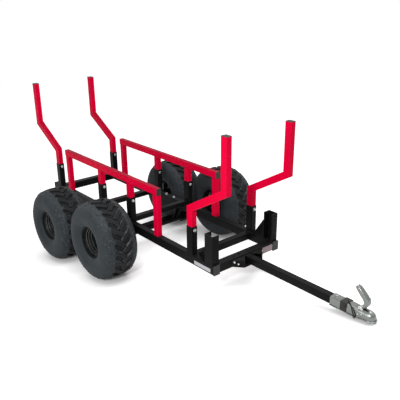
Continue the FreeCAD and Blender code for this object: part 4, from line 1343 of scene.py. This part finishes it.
def collar_loop(shape, low, high):
    spot = Vector(((low.x + high.x) / 2, low.y, high.z - 16))
    washer(shape, spot + Vector((8, 0, 0)), (0, -1, 0), *LOOP_PLATE, 20)
    skin(shape, loop_sections(spot + Vector((12, -3, 0))), ring=True)


def collar_rod(shape, low, high):
    """The bent rod with its ball end, and the short pin under the collar."""
    bends = [(high.x + x, y, BAR_MIDDLE + z) for x, y, z in ROD_LINE]
    for start, end in zip(bends, bends[1:]):
        rod(shape, start, end, ROD_RADIUS)
    for bend in bends[1:]:
        bmesh.ops.create_uvsphere(shape, u_segments=14, v_segments=9,
                                  radius=ROD_END if bend == bends[-1] else ROD_RADIUS,
                                  matrix=Matrix.Translation(bend))
    rod(shape, (high.x - 14, -24, low.z - 3), (high.x + 10, -26, low.z - 3), SHORT_PIN_RADIUS)


# A thin black plate on the neck: painted shade for the slot's dark opening.
def slot_shade_plate(shape):
    near, far = SLOT_X
    corners = ((near, -SLOT_HALF), (far, -SLOT_HALF), (far, SLOT_HALF), (near, SLOT_HALF))
    skin(shape, [[by_ball(x, y, z) for x, y in corners] for z in SLOT_FACES])


low, high = level_box("coupling_collar")
collar_shape = bmesh.new()
collar_loop(collar_shape, low, high)
collar_rod(collar_shape, low, high)
slot_shade_plate(collar_shape)
piece("collar_details", collar_shape, "chassis", ("black_plastic",), 35, LEVEL)

# %% [markdown]
# The handle is a pressed channel, open to the rear, with rounded edges. It runs forward from its
# pin, then up and back, and ends round. A bent tube would have no open back. So its profile is
# given at stations from the pin, as an outer and an inner line, and a channel's section is skinned
# between them.

# %% Coupling handle
# both lines: distance ahead of the pin, height over it
HANDLE_OUTER = ((4, -8), (15, -2), (27, 7), (37, 19), (41, 34), (37, 52), (23, 72), (2, 92),
                (-21, 111), (-41, 121))
HANDLE_INNER = ((-8, 3), (0, 12), (7, 18), (12, 26), (14, 34), (11, 44), (-1, 58), (-17, 74),
                (-34, 92), (-48.5, 108))
HANDLE_HALF, HANDLE_WALL = 16.6, 3.0
HANDLE_EDGE, EDGE_STEPS = 5.0, 5    # radius of its rounded edges
HANDLE_STEPS = 36
HANDLE_ROUND, END_NARROW = 0.9, 0.8         # where its end starts to round, and how much
HANDLE_RIVETS, RIVET_SIZE = ((22, 18), (34, 56)), (3.6, 1.2)
BOSS_SINK, BOSS_SIZE = 1.6, (9.0, 2.0)      # the round bosses at the pin


def handle_section(outer, inner, half):
    """A channel's loop in the plane of two profile points, outer edges rounded."""
    back = Vector((inner[0] - outer[0], 0, inner[1] - outer[1]))
    depth = back.length
    back.normalize()
    edge = min(HANDLE_EDGE, half * 0.8, depth * 0.4)
    outside = [(-half, depth)]
    for angle in (math.pi / 2 * step / EDGE_STEPS for step in range(EDGE_STEPS + 1)):
        outside.append((-half + edge * (1 - math.cos(angle)), edge * (1 - math.sin(angle))))
    outside += [(-y, d) for y, d in reversed(outside)]
    inside = [(y * (half - HANDLE_WALL) / half, d * (depth - HANDLE_WALL) / depth + HANDLE_WALL)
              for y, d in reversed(outside)]
    start = PIN + Vector((outer[0], 0, outer[1]))
    return [start + Vector((0, y, 0)) + back * d for y, d in outside + inside]


def handle_sections():
    sections = []
    for where in (step / HANDLE_STEPS for step in range(HANDLE_STEPS + 1)):
        end = max(0.0, (where - HANDLE_ROUND) / (1 - HANDLE_ROUND))
        half = HANDLE_HALF * math.sqrt(1 - (end * END_NARROW) ** 2)
        outer, inner = along(HANDLE_OUTER, where), along(HANDLE_INNER, where)
        sections.append(handle_section(outer, inner, half))
    return sections


handle_shape = bmesh.new()
skin(handle_shape, handle_sections())
for _, side in SIDES:
    for x, z in HANDLE_RIVETS:
        spot = PIN + Vector((x, side * HANDLE_HALF, z))
        washer(handle_shape, spot, (0, side, 0), *RIVET_SIZE, 14)
    boss = PIN + Vector((0, side * (HANDLE_HALF - BOSS_SINK), 0))
    washer(handle_shape, boss, (0, side, 0), *BOSS_SIZE)
made = piece("handle_channel", handle_shape, "handle", ("galvanised",), 40, LEVEL)
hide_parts("coupling_handle")
